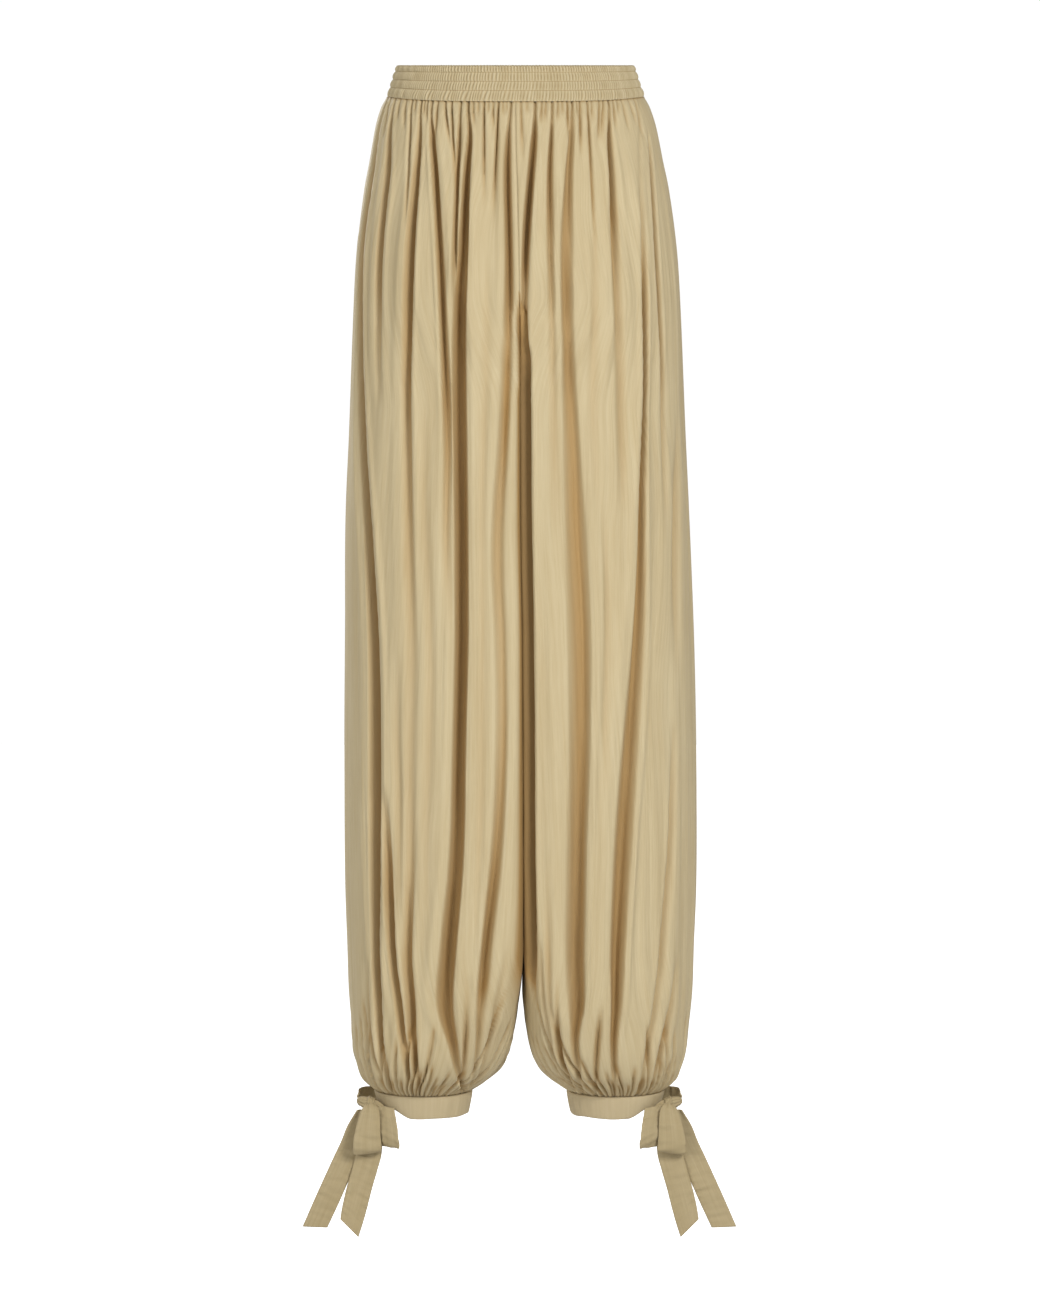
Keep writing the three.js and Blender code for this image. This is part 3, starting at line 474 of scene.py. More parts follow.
class Outline:
    """The leg's outline read along its height."""

    def __init__(self, z: np.ndarray) -> None:
        """Reads every column of the outline table.

        Args:
            z: heights in millimetres.
        """
        heights = [row.z for row in OUTLINE]
        self.size: dict[str, np.ndarray] = {}
        for name in Row._fields[1:]:
            self.size[name] = along(heights, [getattr(row, name) for row in OUTLINE], z)
        self.size["split"] = 1 - ease(z, CROTCH, SPLIT_TOP)

    def quarter(self, index: int, face: Face) -> tuple[np.ndarray, np.ndarray, float]:
        """A quarter of the level section, from the middle seam along the inner leg and across the face.

        Args:
            index: which height.
            face: the front or the back.

        Returns:
            The points, the inward normals, and the length up to the corner of the inner leg.
        """
        size = {name: float(values[index]) for name, values in self.size.items()}
        deep = size[face.word]
        inner = size["inner"] * size["split"]
        width = size["side"] - inner
        parted = deep * size["split"]
        corner_y = min(size["round_in"] * deep, parted) + 1e-6
        corner_x = min(size["round_in"] * width / 2, corner_y * 2)
        side_x = min(size["round_out"] * width, width - corner_x)
        turn_in = np.linspace(math.pi, 1.5 * math.pi, CORNER_POINTS)
        turn_out = np.linspace(1.5 * math.pi, math.tau, SIDE_POINTS)
        x = np.concatenate([
            np.full(INNER_POINTS, inner),
            inner + corner_x + corner_x * np.cos(turn_in),
            inner + corner_x + (width - side_x - corner_x) * np.linspace(0, 1, FACE_POINTS),
            size["side"] - side_x + side_x * np.cos(turn_out),
        ])
        y = np.concatenate([
            parted - deep + (corner_y - parted) * np.linspace(0, 1, INNER_POINTS),
            corner_y - deep + corner_y * np.sin(turn_in),
            np.full(FACE_POINTS, -deep),
            deep * np.sin(turn_out),
        ])
        parting = float(ease(np.array(parted), 0, 12))
        round_corner = np.column_stack([
            -np.cos(turn_in) * corner_y * parting,
            -np.sin(turn_in) * corner_x + 1 - parting,
        ])
        normal = np.concatenate([
            np.tile([parting, 1 - parting], (INNER_POINTS, 1)),
            round_corner,
            np.tile([0.0, 1.0], (FACE_POINTS, 1)),
            np.column_stack([-np.cos(turn_out) * deep, -np.sin(turn_out) * side_x]),
        ])
        normal /= np.maximum(np.linalg.norm(normal, axis=1), 1e-9)[:, None]
        corner = abs(parted - corner_y) + 0.5 * math.pi * min(corner_x, corner_y)
        return np.column_stack([x, y]), normal, corner if parted > 1 else 0.0


def settled(point: np.ndarray, side_at: np.ndarray) -> np.ndarray:
    """The waist and the cuffs hang a little lower in front, and the waist seam rises towards the sides.

    Args:
        point: points in millimetres, x, y and z in the last axis.
        side_at: half the width of the garment at each point.

    Returns:
        The points at the heights where they hang.
    """
    x, y, z = point[..., 0], point[..., 1], point[..., 2]
    tilt = WAIST_TILT * ease(z, TILT_ENDS, WAIST_LINE)
    dip = CUFF_DIP * (1 - ease(z, CUFF_TOP, DIP_STARTS))
    lift = SIDE_LIFT * ease(z, LIFT_ENDS, WAIST_LINE) * np.clip(np.abs(x) / side_at, 0, 1) ** 4
    return np.stack([x, y, z + (tilt + dip) * y + lift], axis=-1)


def grid_quads(rows: int, columns: int, joined_rows: bool = False,
               joined_columns: bool = False) -> np.ndarray:
    """The four-sided faces over a grid of points.

    Args:
        rows: how many rows of points it has.
        columns: how many points a row has.
        joined_rows: whether the last row joins the first.
        joined_columns: whether the last column joins the first.

    Returns:
        Four point numbers a face.
    """
    ids = np.arange(rows * columns).reshape(rows, columns)
    below, beside = np.roll(ids, -1, axis=0), np.roll(ids, -1, axis=1)
    quads = np.stack([ids, below, np.roll(below, -1, axis=1), beside], axis=-1)
    last_row = rows if joined_rows else rows - 1
    last_column = columns if joined_columns else columns - 1
    return quads[:last_row, :last_column].reshape(-1, 4)


def over(first: np.ndarray, second: np.ndarray) -> np.ndarray:
    """A cloth map from its two coordinates, each spread over the grid that they make together."""
    return np.stack(np.broadcast_arrays(first, second), axis=-1)


def filled_mesh(name: str, points: np.ndarray, quads: np.ndarray, cloth: np.ndarray) -> bpy.types.Object:
    """A smooth-shaded mesh object from points, four-sided faces and a cloth map.

    Args:
        name: the piece's name.
        points: points in millimetres.
        quads: four point numbers a face.
        cloth: the place of each point on the flat cloth, in metres.

    Returns:
        The new object, linked to the scene.
    """
    mesh = bpy.data.meshes.new(name)
    mesh.vertices.add(len(points))
    mesh.vertices.foreach_set("co", (points * MM).astype(np.float32).ravel())
    mesh.loops.add(quads.size)
    mesh.loops.foreach_set("vertex_index", quads.astype(np.int32).ravel())
    mesh.polygons.add(len(quads))
    mesh.polygons.foreach_set("loop_start", np.arange(0, quads.size, 4, dtype=np.int32))
    mesh.polygons.foreach_set("use_smooth", np.ones(len(quads), bool))
    mesh.update(calc_edges=True)
    mesh.validate()
    flat = mesh.uv_layers.new(name=CLOTH_MAP)
    flat.data.foreach_set("uv", cloth[quads.ravel()].astype(np.float32).ravel())
    piece = bpy.data.objects.new(name, mesh)
    bpy.context.scene.collection.objects.link(piece)
    return piece


def outward(piece: bpy.types.Object) -> None:
    """Turns the faces of a closed piece outwards.

    Args:
        piece: a closed mesh whose faces all agree.
    """
    mesh = piece.data
    mesh.calc_loop_triangles()
    corner = np.array([vertex.co for vertex in mesh.vertices])
    triangles = np.array([triangle.vertices for triangle in mesh.loop_triangles])
    a, b, c = (corner[triangles[:, k]] for k in range(3))
    if np.einsum("ij,ij->i", a, np.cross(b, c)).sum() < 0:
        mesh.flip_normals()


def ring_mesh(name: str, points: np.ndarray, cloth: np.ndarray) -> bpy.types.Object:
    """A mesh that is closed both ways, such as a band with its outside, its inside and both edges.

    Args:
        name: the piece's name.
        points: rings by columns of points, in millimetres, the last ring beside the first.
        cloth: the place of each point on the flat cloth, in metres.

    Returns:
        The new object, its faces outwards.
    """
    rings, columns = points.shape[:2]
    quads = grid_quads(rings, columns, joined_rows=True, joined_columns=True)
    piece = filled_mesh(name, points.reshape(-1, 3), quads, cloth.reshape(-1, 2))
    outward(piece)
    return piece


def ribbon_mesh(name: str, points: np.ndarray, quads: np.ndarray, caps: list[list[int]],
                cloth: np.ndarray) -> bpy.types.Object:
    """A closed ribbon from its sides and its end caps.

    Args:
        name: the piece's name.
        points: points in millimetres.
        quads: four point numbers a side face.
        caps: the faces of the two ends, some with a point twice.
        cloth: the place of each point on the flat cloth, in metres.

    Returns:
        The new object, its faces outwards.
    """
    faces = quads.tolist() + [list(dict.fromkeys(face)) for face in caps]
    mesh = bpy.data.meshes.new(name)
    mesh.from_pydata((points * MM).tolist(), [], [face for face in faces if len(face) > 2])
    mesh.update()
    mesh.polygons.foreach_set("use_smooth", np.ones(len(mesh.polygons), bool))
    flat = mesh.uv_layers.new(name=CLOTH_MAP)
    corner = np.zeros(len(mesh.loops), np.int32)
    mesh.loops.foreach_get("vertex_index", corner)
    flat.data.foreach_set("uv", cloth[corner].astype(np.float32).ravel())
    piece = bpy.data.objects.new(name, mesh)
    bpy.context.scene.collection.objects.link(piece)
    outward(piece)
    return piece


def ribbon_ring(across: int) -> tuple[np.ndarray, np.ndarray]:
    """The points round a ribbon's section, once over its top and back under it.

    Args:
        across: how many points its top has, closest together at its edges.

    Returns:
        Their places as shares of the width, from -0.5 to 0.5, and 1 for the top or -1 for the underside.
    """
    share = np.sin(np.linspace(-math.pi / 2, math.pi / 2, across)) / 2
    ring = np.concatenate([share, share[-2:0:-1]])
    return ring, np.concatenate([np.ones(across), -np.ones(across - 2)])


def thicken(piece: bpy.types.Object, thickness: float) -> None:
    """Gives a sheet the thickness of its cloth, towards its inside.

    Args:
        piece: the sheet.
        thickness: in millimetres.
    """
    wall = piece.modifiers.new("cloth", "SOLIDIFY")
    wall.thickness = thickness * MM
    wall.offset = -1
    wall.use_rim = True


def shade_creases(piece: bpy.types.Object, crease: np.ndarray) -> None:
    """Stores how deep in a fold each point lies, as painted shade for the cloth's colour.

    Args:
        piece: the piece.
        crease: a value for each point, from 0 to 1 in a fold and up to 2 in the split.
    """
    layer = piece.data.attributes.new(CREASE_SHADE_LAYER, "FLOAT", "POINT")
    layer.data.foreach_set("value", crease.astype(np.float32).ravel())


def place(piece: bpy.types.Object, node: str, finish: "Finish") -> None:
    """Dresses a finished sheet of cloth, sets it on the body, and logs how many faces it has.

    Args:
        piece: the piece.
        node: the solid that it stands for.
        finish: what its cloth looks like.
    """
    piece.data.materials.clear()
    piece.data.materials.append(finish.material())
    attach(piece, BODY)
    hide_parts(node)
    log.info("%s: %d faces", piece.name, len(piece.data.polygons))


@dataclass(frozen=True)
class Finish:
    """How one cloth of the garment looks.

    Colours are linear. shade is the darker tone that the cloth's streaks and patches take at random, and fold
    the painted shade colour that the crease layer lays into folds, seams, ruches and the split. streak is how
    strong the fine lengthwise crinkle is, wrinkle the crosswise one, and weave the strength of the threads.
    """

    name: str
    colour: tuple[float, float, float]
    shade: tuple[float, float, float]
    fold: tuple[float, float, float]
    roughness: float
    streak: float
    wrinkle: float
    weave: float
    bump: float
    sheen: float = 0.04
    sheen_roughness: float = 0.45
    sheen_tint: tuple[float, float, float] = (1.0, 0.95, 0.84)
    specular: float = 0.22
    relief: float = 0.0006

    def material(self) -> bpy.types.Material:
        """The cloth's material, made once and then shared."""
        made = bpy.data.materials.get(self.name)
        if made is None:
            made = self._build()
        return made

    def _build(self) -> bpy.types.Material:
        """Builds the nodes: the cloth's colour, roughness and relief lie along its own map."""
        material = bpy.data.materials.new(self.name)
        material.use_nodes = True
        nodes, links = material.node_tree.nodes, material.node_tree.links
        shader = nodes["Principled BSDF"]
        shader.inputs["Sheen Weight"].default_value = self.sheen
        shader.inputs["Sheen Roughness"].default_value = self.sheen_roughness
        shader.inputs["Sheen Tint"].default_value = (*self.sheen_tint, 1)
        shader.inputs["Specular IOR Level"].default_value = self.specular
        lie = nodes.new("ShaderNodeUVMap")
        lie.uv_map = CLOTH_MAP
        cloth = nodes.new("ShaderNodeGroup")
        cloth.node_tree = woven_cloth()
        links.new(lie.outputs["UV"], cloth.inputs["Cloth"])
        for label, colour in (("Colour", self.colour), ("Shade", self.shade), ("Fold", self.fold)):
            cloth.inputs[label].default_value = (*colour, 1)
        cloth.inputs["Roughness"].default_value = self.roughness
        cloth.inputs["Streak"].default_value = self.streak
        cloth.inputs["Wrinkle"].default_value = self.wrinkle
        cloth.inputs["Weave"].default_value = self.weave
        bump = nodes.new("ShaderNodeBump")
        bump.inputs["Strength"].default_value = self.bump
        bump.inputs["Distance"].default_value = self.relief
        # The crease layer carries painted shade into the cloth's colour.
        depth = nodes.new("ShaderNodeAttribute")
        depth.attribute_name = CREASE_SHADE_LAYER
        links.new(depth.outputs["Fac"], cloth.inputs["Crease"])
        links.new(cloth.outputs["Colour"], shader.inputs["Base Color"])
        links.new(cloth.outputs["Roughness"], shader.inputs["Roughness"])
        links.new(cloth.outputs["Height"], bump.inputs["Height"])
        links.new(bump.outputs["Normal"], shader.inputs["Normal"])
        return material


class ClothNodes:
    """The node group of the crinkled viscose: streaks down it, wrinkles across it, slubs and the weave, and
    the painted shade of its creases and the split.
    """

    name = "woven_cloth"
    takes = {
        "Cloth": "NodeSocketVector",
        "Colour": "NodeSocketColor",
        "Shade": "NodeSocketColor",
        "Fold": "NodeSocketColor",
        "Crease": "NodeSocketFloat",
        "Roughness": "NodeSocketFloat",
        "Streak": "NodeSocketFloat",
        "Wrinkle": "NodeSocketFloat",
        "Weave": "NodeSocketFloat",
    }
    gives = {
        "Colour": "NodeSocketColor",
        "Roughness": "NodeSocketFloat",
        "Height": "NodeSocketFloat",
    }
    warp_per_metre = 1700
    weft_per_metre = 1500
    slub_height = 0.45
    broad_tone = 0.55
    # How far the colour turns to the painted shade colour in creases, and how dark the painted shade in the
    # split gets.
    fold_tint = 0.9
    closed_shade = 0.66
    uneven_gloss = 0.12

    def __init__(self) -> None:
        """Starts an empty group with its inputs and outputs."""
        self.group = bpy.data.node_groups.new(self.name, "ShaderNodeTree")
        for label, kind in self.takes.items():
            self.group.interface.new_socket(label, in_out="INPUT", socket_type=kind)
        for label, kind in self.gives.items():
            self.group.interface.new_socket(label, in_out="OUTPUT", socket_type=kind)
        self.nodes, self.links = self.group.nodes, self.group.links
        self.start = self.nodes.new("NodeGroupInput")
        self.end = self.nodes.new("NodeGroupOutput")

    def noise(self, across: float, down: float, detail: float) -> bpy.types.NodeSocket:
        """A noise stretched over the cloth, by its scale across and down the cloth, in waves a metre."""
        spread = self.nodes.new("ShaderNodeVectorMath")
        spread.operation = "MULTIPLY"
        spread.inputs[1].default_value = (across, down, 1)
        self.links.new(self.start.outputs["Cloth"], spread.inputs[0])
        made = self.nodes.new("ShaderNodeTexNoise")
        made.noise_dimensions = "2D"
        made.inputs["Scale"].default_value = 1
        made.inputs["Detail"].default_value = detail
        self.links.new(spread.outputs[0], made.inputs["Vector"])
        return made.outputs["Fac"]

    def threads(self, direction: str, per_metre: float) -> bpy.types.NodeSocket:
        """One set of threads, as bands across or down the cloth."""
        bands_a_unit = 3.2
        band = self.nodes.new("ShaderNodeTexWave")
        band.bands_direction = direction
        band.inputs["Scale"].default_value = per_metre / bands_a_unit
        band.inputs["Distortion"].default_value = 0.6
        band.inputs["Detail Scale"].default_value = 0.4
        self.links.new(self.start.outputs["Cloth"], band.inputs["Vector"])
        return band.outputs["Fac"]

    def sums(self, operation: str, first: bpy.types.NodeSocket | float,
             second: bpy.types.NodeSocket | float) -> bpy.types.NodeSocket:
        """One sum of two values or sockets."""
        node = self.nodes.new("ShaderNodeMath")
        node.operation = operation
        for socket, value in zip(node.inputs, (first, second)):
            if isinstance(value, bpy.types.NodeSocket):
                self.links.new(value, socket)
            else:
                socket.default_value = value
        return node.outputs[0]

    def between(self, amount: bpy.types.NodeSocket, first: bpy.types.NodeSocket,
                second: bpy.types.NodeSocket) -> bpy.types.NodeSocket:
        """A colour between two others, by an amount from 0 to 1."""
        mix = self.nodes.new("ShaderNodeMix")
        mix.data_type = "RGBA"
        self.links.new(amount, mix.inputs["Factor"])
        self.links.new(first, mix.inputs["A"])
        self.links.new(second, mix.inputs["B"])
        return mix.outputs["Result"]

    def ramp(self, value: bpy.types.NodeSocket, from_min: float, from_max: float, to_min: float,
             to_max: float) -> bpy.types.NodeSocket:
        """A value carried over from one range to another, and held at its ends."""
        node = self.nodes.new("ShaderNodeMapRange")
        node.inputs["From Min"].default_value = from_min
        node.inputs["From Max"].default_value = from_max
        node.inputs["To Min"].default_value = to_min
        node.inputs["To Max"].default_value = to_max
        self.links.new(value, node.inputs["Value"])
        return node.outputs["Result"]

    def build(self) -> bpy.types.NodeTree:
        """Makes the cloth's height, colour and roughness, and joins them to the outputs."""
        given, sums = self.start.outputs, self.sums
        streak = self.noise(across=230, down=7, detail=3)
        slub = self.noise(across=750, down=28, detail=2)
        broad = self.noise(across=38, down=4, detail=2)
        cross = self.noise(across=26, down=190, detail=2)
        warp, weft = self.threads("X", self.warp_per_metre), self.threads("Y", self.weft_per_metre)
        weave = sums("MULTIPLY", warp, weft)
        slubbed = sums("ADD", streak, sums("MULTIPLY", slub, self.slub_height))
        streaks = sums("MULTIPLY", slubbed, given["Streak"])
        wrinkles = sums("MULTIPLY", cross, given["Wrinkle"])
        woven = sums("MULTIPLY", weave, given["Weave"])
        height = sums("ADD", sums("ADD", streaks, wrinkles), woven)
        self.links.new(height, self.end.inputs["Height"])
        fine_tone = sums("MULTIPLY", sums("ADD", streak, slub), 1 - self.broad_tone)
        tone = sums("ADD", sums("MULTIPLY", broad, self.broad_tone), fine_tone)
        plain = self.between(self.ramp(tone, 0.45, 1.0, 0.0, 1.0), given["Colour"], given["Shade"])
        # Painted shade: creases, seams, ruches and the split turn towards the Fold colour.
        painted_shade_share = sums("MULTIPLY", given["Crease"], self.fold_tint)
        with_painted_shade = self.between(painted_shade_share, plain, given["Fold"])
        # Painted shade in the split: crease values above 1 darken the colour further.
        darker = self.nodes.new("ShaderNodeVectorMath")
        darker.operation = "SCALE"
        self.links.new(with_painted_shade, darker.inputs[0])
        closed = self.ramp(given["Crease"], 1.0, 2.0, 1.0, self.closed_shade)
        self.links.new(closed, darker.inputs["Scale"])
        self.links.new(darker.outputs[0], self.end.inputs["Colour"])
        gloss = sums("MULTIPLY", sums("SUBTRACT", streak, 0.5), self.uneven_gloss)
        self.links.new(sums("ADD", given["Roughness"], gloss), self.end.inputs["Roughness"])
        return self.group


def woven_cloth() -> bpy.types.NodeTree:
    """The cloth's node group, made once and then shared."""
    return bpy.data.node_groups.get(ClothNodes.name) or ClothNodes().build()


# fold is the painted shade colour for creases, seams, ruches and the split.
LEG_CLOTH = Finish(
    "viscose_legs", colour=(0.578, 0.487, 0.303), shade=(0.500, 0.400, 0.228), fold=(0.395, 0.246, 0.092),
    roughness=0.62, streak=1.0, wrinkle=0.10, weave=0.16, bump=0.55)
BAND_CLOTH = Finish(
    "viscose_band", colour=(0.590, 0.507, 0.330), shade=(0.510, 0.428, 0.260), fold=(0.310, 0.215, 0.095),
    roughness=0.68, streak=0.7, wrinkle=0.20, weave=0.16, bump=0.5)
CUFF_CLOTH = Finish(
    "viscose_cuffs", colour=(0.495, 0.411, 0.260), shade=(0.440, 0.358, 0.214), fold=(0.300, 0.205, 0.095),
    roughness=0.66, streak=0.35, wrinkle=0.3, weave=0.2, bump=0.45)
TIE_CLOTH = Finish(
    "viscose_ties", colour=(0.436, 0.356, 0.212), shade=(0.370, 0.294, 0.160), fold=(0.280, 0.190, 0.085),
    roughness=0.66, streak=0.35, wrinkle=0.9, weave=0.2, bump=0.6)


class Sections(NamedTuple):
    """The level sections of a panel, a row for each height.

    z is the height and size holds the outline's measures there, arcs is the place of each sample along its
    section, xs and ys the sample itself, across and inward its inward normal, and corner the length of the
    inner leg.
    """

    z: np.ndarray
    size: dict[str, np.ndarray]
    arcs: np.ndarray
    xs: np.ndarray
    ys: np.ndarray
    across: np.ndarray
    inward: np.ndarray
    corner: np.ndarray

    @classmethod
    def of(cls, z: np.ndarray, face: Face) -> "Sections":
        """The sections of one face of the leg.

        Args:
            z: the height of each row, in millimetres.
            face: the front or the back.

        Returns:
            The section at each height.
        """
        outline = Outline(z)
        rows = len(z)
        found = [outline.quarter(i, face) for i in range(rows)]
        points = np.stack([points for points, _, _ in found])
        normals = np.stack([normals for _, normals, _ in found])
        steps = np.hypot(*np.moveaxis(np.diff(points, axis=1), -1, 0))
        arcs = np.concatenate([np.zeros((rows, 1)), np.cumsum(steps, axis=1)], axis=1)
        corner = np.array([length for _, _, length in found])
        return cls(z, outline.size, arcs, *np.moveaxis(points, -1, 0), *np.moveaxis(normals, -1, 0), corner)

    def at(self, values: np.ndarray, arc: np.ndarray) -> np.ndarray:
        """Values that are given at the samples, read at the place of each column."""
        return np.stack([np.interp(arc[i], self.arcs[i], values[i]) for i in range(len(arc))])

    def place_of(self, x: np.ndarray) -> np.ndarray:
        """The place on each row's section where its face reaches a distance from the middle."""
        face_xs, face_arcs = self.xs[:, CORNER_TURN:], self.arcs[:, CORNER_TURN:]
        return np.array([np.interp(x[i], face_xs[i], face_arcs[i]) for i in range(len(x))])


class Drape(NamedTuple):
    """A long fold on every row of a panel: its place along the section, and its depth."""

    fold: Fold
    centre: np.ndarray
    depth: np.ndarray


class Pleat(NamedTuple):
    """A gather on every row of a panel: its place along the section, its depth, and half its width."""

    centre: np.ndarray
    depth: np.ndarray
    half: np.ndarray


@dataclass
class LegPanel:
    """The front or the back of one leg: a gathered wall of cloth that hangs in long folds.

    Sizes are in millimetres. flat is the cut's width and length, and cut_area its area without the crotch
    curve, in square metres, which is not used. set_back is how far the face stays away from the split, lean
    how far the cloth beside the split moves over, and lean_wide how far from it that reaches.

    Long folds keep the share fold_depth of their table's depth, and half of what goes beyond deep_fold. The
    slopes of a fold or a gather are at least narrowest wide, and its painted shade is full from the depths in
    full_shade: a long fold's, a waist gather's and a cuff gather's. crowding is how much the columns crowd at
    a long fold and at a gather, for each millimetre of its depth. wander, swells and ripple are a height, a
    width and a length each: of a fold's wandering, and of the free cloth's unevenness. puffs is how far the
    cloth stands out below the waist seam and above the cuff, and seam_puffs the same along the side seams.
    """

    side: Side
    face: Face
    seed: int
    set_back: float = 0.0
    cloth: float = 0.7
    columns: int = 152
    rows: int = 288
    flat: tuple[float, float] = (0.43, 1.02)
    cut_area: float = 0.405
    seam_dip: float = 0.5
    lean: float = 3.0
    lean_wide: float = 26
    fold_depth: float = 0.92
    deep_fold: float = 15
    caught_depth: float = 5.5
    narrowest: float = 1.7
    crease_flat: float = 1.15
    full_shade: tuple[float, float, float] = (10, 5, 2.4)
    crowding: tuple[float, float] = (0.13, 0.18)
    wander: tuple[float, float, float] = (0.5, 60, 190)
    swells: tuple[tuple[float, float, float], ...] = ((0.8, 34, 520), (0.4, 15, 300))
    ripple: tuple[float, float, float] = (0.16, 5.5, 120)
    pulled_in: float = 1.2
    puffs: tuple[float, float] = (0.7, 1.2)
    seam_puffs: tuple[float, float] = (0.4, 0.7)
    finish: Finish = LEG_CLOTH
    folds: tuple[Fold, ...] = field(init=False)

    def __post_init__(self) -> None:
        """Looks up the panel's own folds."""
        self.folds = LONG_FOLDS[self.key]

    @property
    def key(self) -> str:
        """The panel's side and face, as the tables name it."""
        return f"{self.side.word}_{self.face.word}"

    def heights(self) -> np.ndarray:
        """The heights of the rows, closest together at the waist and at the cuff."""
        z = SEAM_TOP + (SEAM_LOW - SEAM_TOP) * np.linspace(0, 1, 4000)
        dense = 1 + 1.5 * ease(z, -160, -20) + 1.9 * (1 - ease(z, -1010, -860))
        share = np.concatenate([[0], np.cumsum((dense[1:] + dense[:-1]) / 2)])
        return np.interp(np.linspace(0, share[-1], self.rows), share, z)

    def waist_gathers(self) -> list[Gather]:
        """The gathers under the waist seam: listed one by one in front, and of the same kind behind."""
        if self.face is Face.FRONT:
            return list(WAIST_GATHERS[self.key])
        draw = np.random.default_rng(self.seed + 40)
        first, span = 4, 120
        found = []
        for index in range(BACK_GATHERS):
            at = first + (index + draw.uniform(0.2, 0.8)) * span / BACK_GATHERS
            reach = 16 + 150 * draw.uniform() ** 2.2
            ends = at * 1.03 + draw.uniform(-3, 6)
            found.append(Gather(at, ends, reach, 2.6 + 3 * min(reach / 120, 1)))
        return found

    def build(self) -> bpy.types.Object:
        """Works out every point of the panel and makes its mesh.

        Returns:
            The panel as a thin shell.
        """
        z = self.heights()
        sections = Sections.of(z, self.face)
        drapes = []
        for long_fold in self.folds:
            centre = sections.place_of(long_fold.read("at", z))
            drapes.append(Drape(long_fold, centre, self._fold_depth(long_fold, z)))
        pleats = [self._pleat(gather, sections) for gather in self.waist_gathers()]
        arc = self._spread(sections, drapes, pleats)
        drop, crease = self._relief(arc, sections, drapes, pleats)
        x = sections.at(sections.xs, arc) + sections.at(sections.across, arc) * drop
        y = sections.at(sections.ys, arc) + sections.at(sections.inward, arc) * drop
        x, crease = self._split(x, y, crease, arc, sections)
        y = self.face.value * np.minimum(y, 0.0)
        level = np.broadcast_to(z[:, None], x.shape)
        points = settled(np.stack([x, y, level], axis=-1), sections.size["side"][:, None])
        share = np.linspace(0, 1, self.columns)[None, :] * self.flat[0]
        cloth = over(share + 0.5 * self.seed, -z[:, None] * MM)
        quads = grid_quads(self.rows, self.columns)
        if self.side.value * self.face.value < 0:
            quads = quads[:, ::-1]
        piece = filled_mesh(f"leg_{self.key}_cloth", points.reshape(-1, 3), quads, cloth.reshape(-1, 2))
        shade_creases(piece, crease)
        thicken(piece, self.cloth)
        return piece

    def _fold_depth(self, found: Fold, z: np.ndarray) -> np.ndarray:
        """The depth of one long fold on each row, in millimetres.

        Args:
            found: the fold.
            z: the height of each row.

        Returns:
            Its depth, which starts at the seam itself where the fold is caught in it.
        """
        depth = self.fold_depth * np.clip(found.read("depth", z), 0, None)
        depth = depth - 0.5 * np.clip(depth - self.deep_fold, 0, None)
        if found.stations[0].z < CAUGHT:
            return depth
        return depth + np.clip(self.caught_depth - depth, 0, None) * (1 - ease(SEAM_TOP - z, 14, 60))

    def _pleat(self, gather: Gather, sections: Sections) -> Pleat:
        """One gather of the waist on each row: it widens and fades out as it runs down."""
        away = SEAM_TOP - sections.z
        run = np.clip(away / gather.reach, 0, 1)
        fades = 1 - ease(away, gather.reach * 0.3, gather.reach)
        strength = 1.2 * gather.depth * (0.75 + 0.25 * ease(away, 0, 10)) * fades
        centre = sections.place_of(gather.at + (gather.ends - gather.at) * run)
        return Pleat(centre, strength, self.narrowest + 2.5 * run)

    def _split(self, x: np.ndarray, y: np.ndarray, crease: np.ndarray, arc: np.ndarray,
               sections: Sections) -> tuple[np.ndarray, np.ndarray]:
        """Closes the inner leg along the split, paints shade on it, and sets the panel on its own side.

        Args:
            x: the distance of each point from the middle.
            y: its distance from the section's middle, below 0 towards the panel's own face.
            crease: how deep in a fold it lies, the painted shade so far.
            arc: the place of each column on each row.
            sections: the panel's sections.

        Returns:
            Each point's place from side to side, and its painted crease shade, up to 2 in the split itself,
            where it darkens most.
        """
        z, size = sections.z, sections.size
        parted = self.set_back * ease(z, SPLIT_TOP - 10, CROTCH + 40) * (1 - ease(z, -935, -975))
        x = np.maximum(x + parted[:, None] * ease(-y, 25, 85) * (1 - ease(x, 2, 32)), 0.0)
        shut = ease(z, MIDDLE_OPENS - 60, MIDDLE_OPENS)[:, None]
        behind = self._behind(arc, sections)
        x = x * (1 - shut * ease(behind, 0.35, 0.8))
        beside = 1 - ease(arc - sections.arcs[:, CORNER_END, None], 2, 9)
        middle = shut * size["split"][:, None] * beside
        # Painted shade on the inner leg where the legs touch, darkest in the split beside the corner.
        crease = np.clip(crease + shut * ease(behind, 0.1, 0.6), 0, 1) * (1 + middle)
        leaning = ease(SEAM_TOP - z, 20, 240)[:, None] * np.exp(-(x / self.lean_wide) ** 2)
        x = self.side.value * x + size["sway"][:, None] + self.lean * shut * leaning
        return x, crease

    def _behind(self, arc: np.ndarray, sections: Sections) -> np.ndarray:
        """How far round the inner corner each point lies.

        Args:
            arc: the place of each column on each row.
            sections: the panel's sections.

        Returns:
            0 on the face, and 1 or more on the inner leg.
        """
        size = sections.size
        deep = size[self.face.word]
        turn = np.minimum(size["round_in"] * deep, deep * size["split"]) + 1e-3
        inside = arc < sections.arcs[:, CORNER_END, None] + 1e-3
        return inside * (sections.at(sections.ys, arc) + deep[:, None]) / turn[:, None]

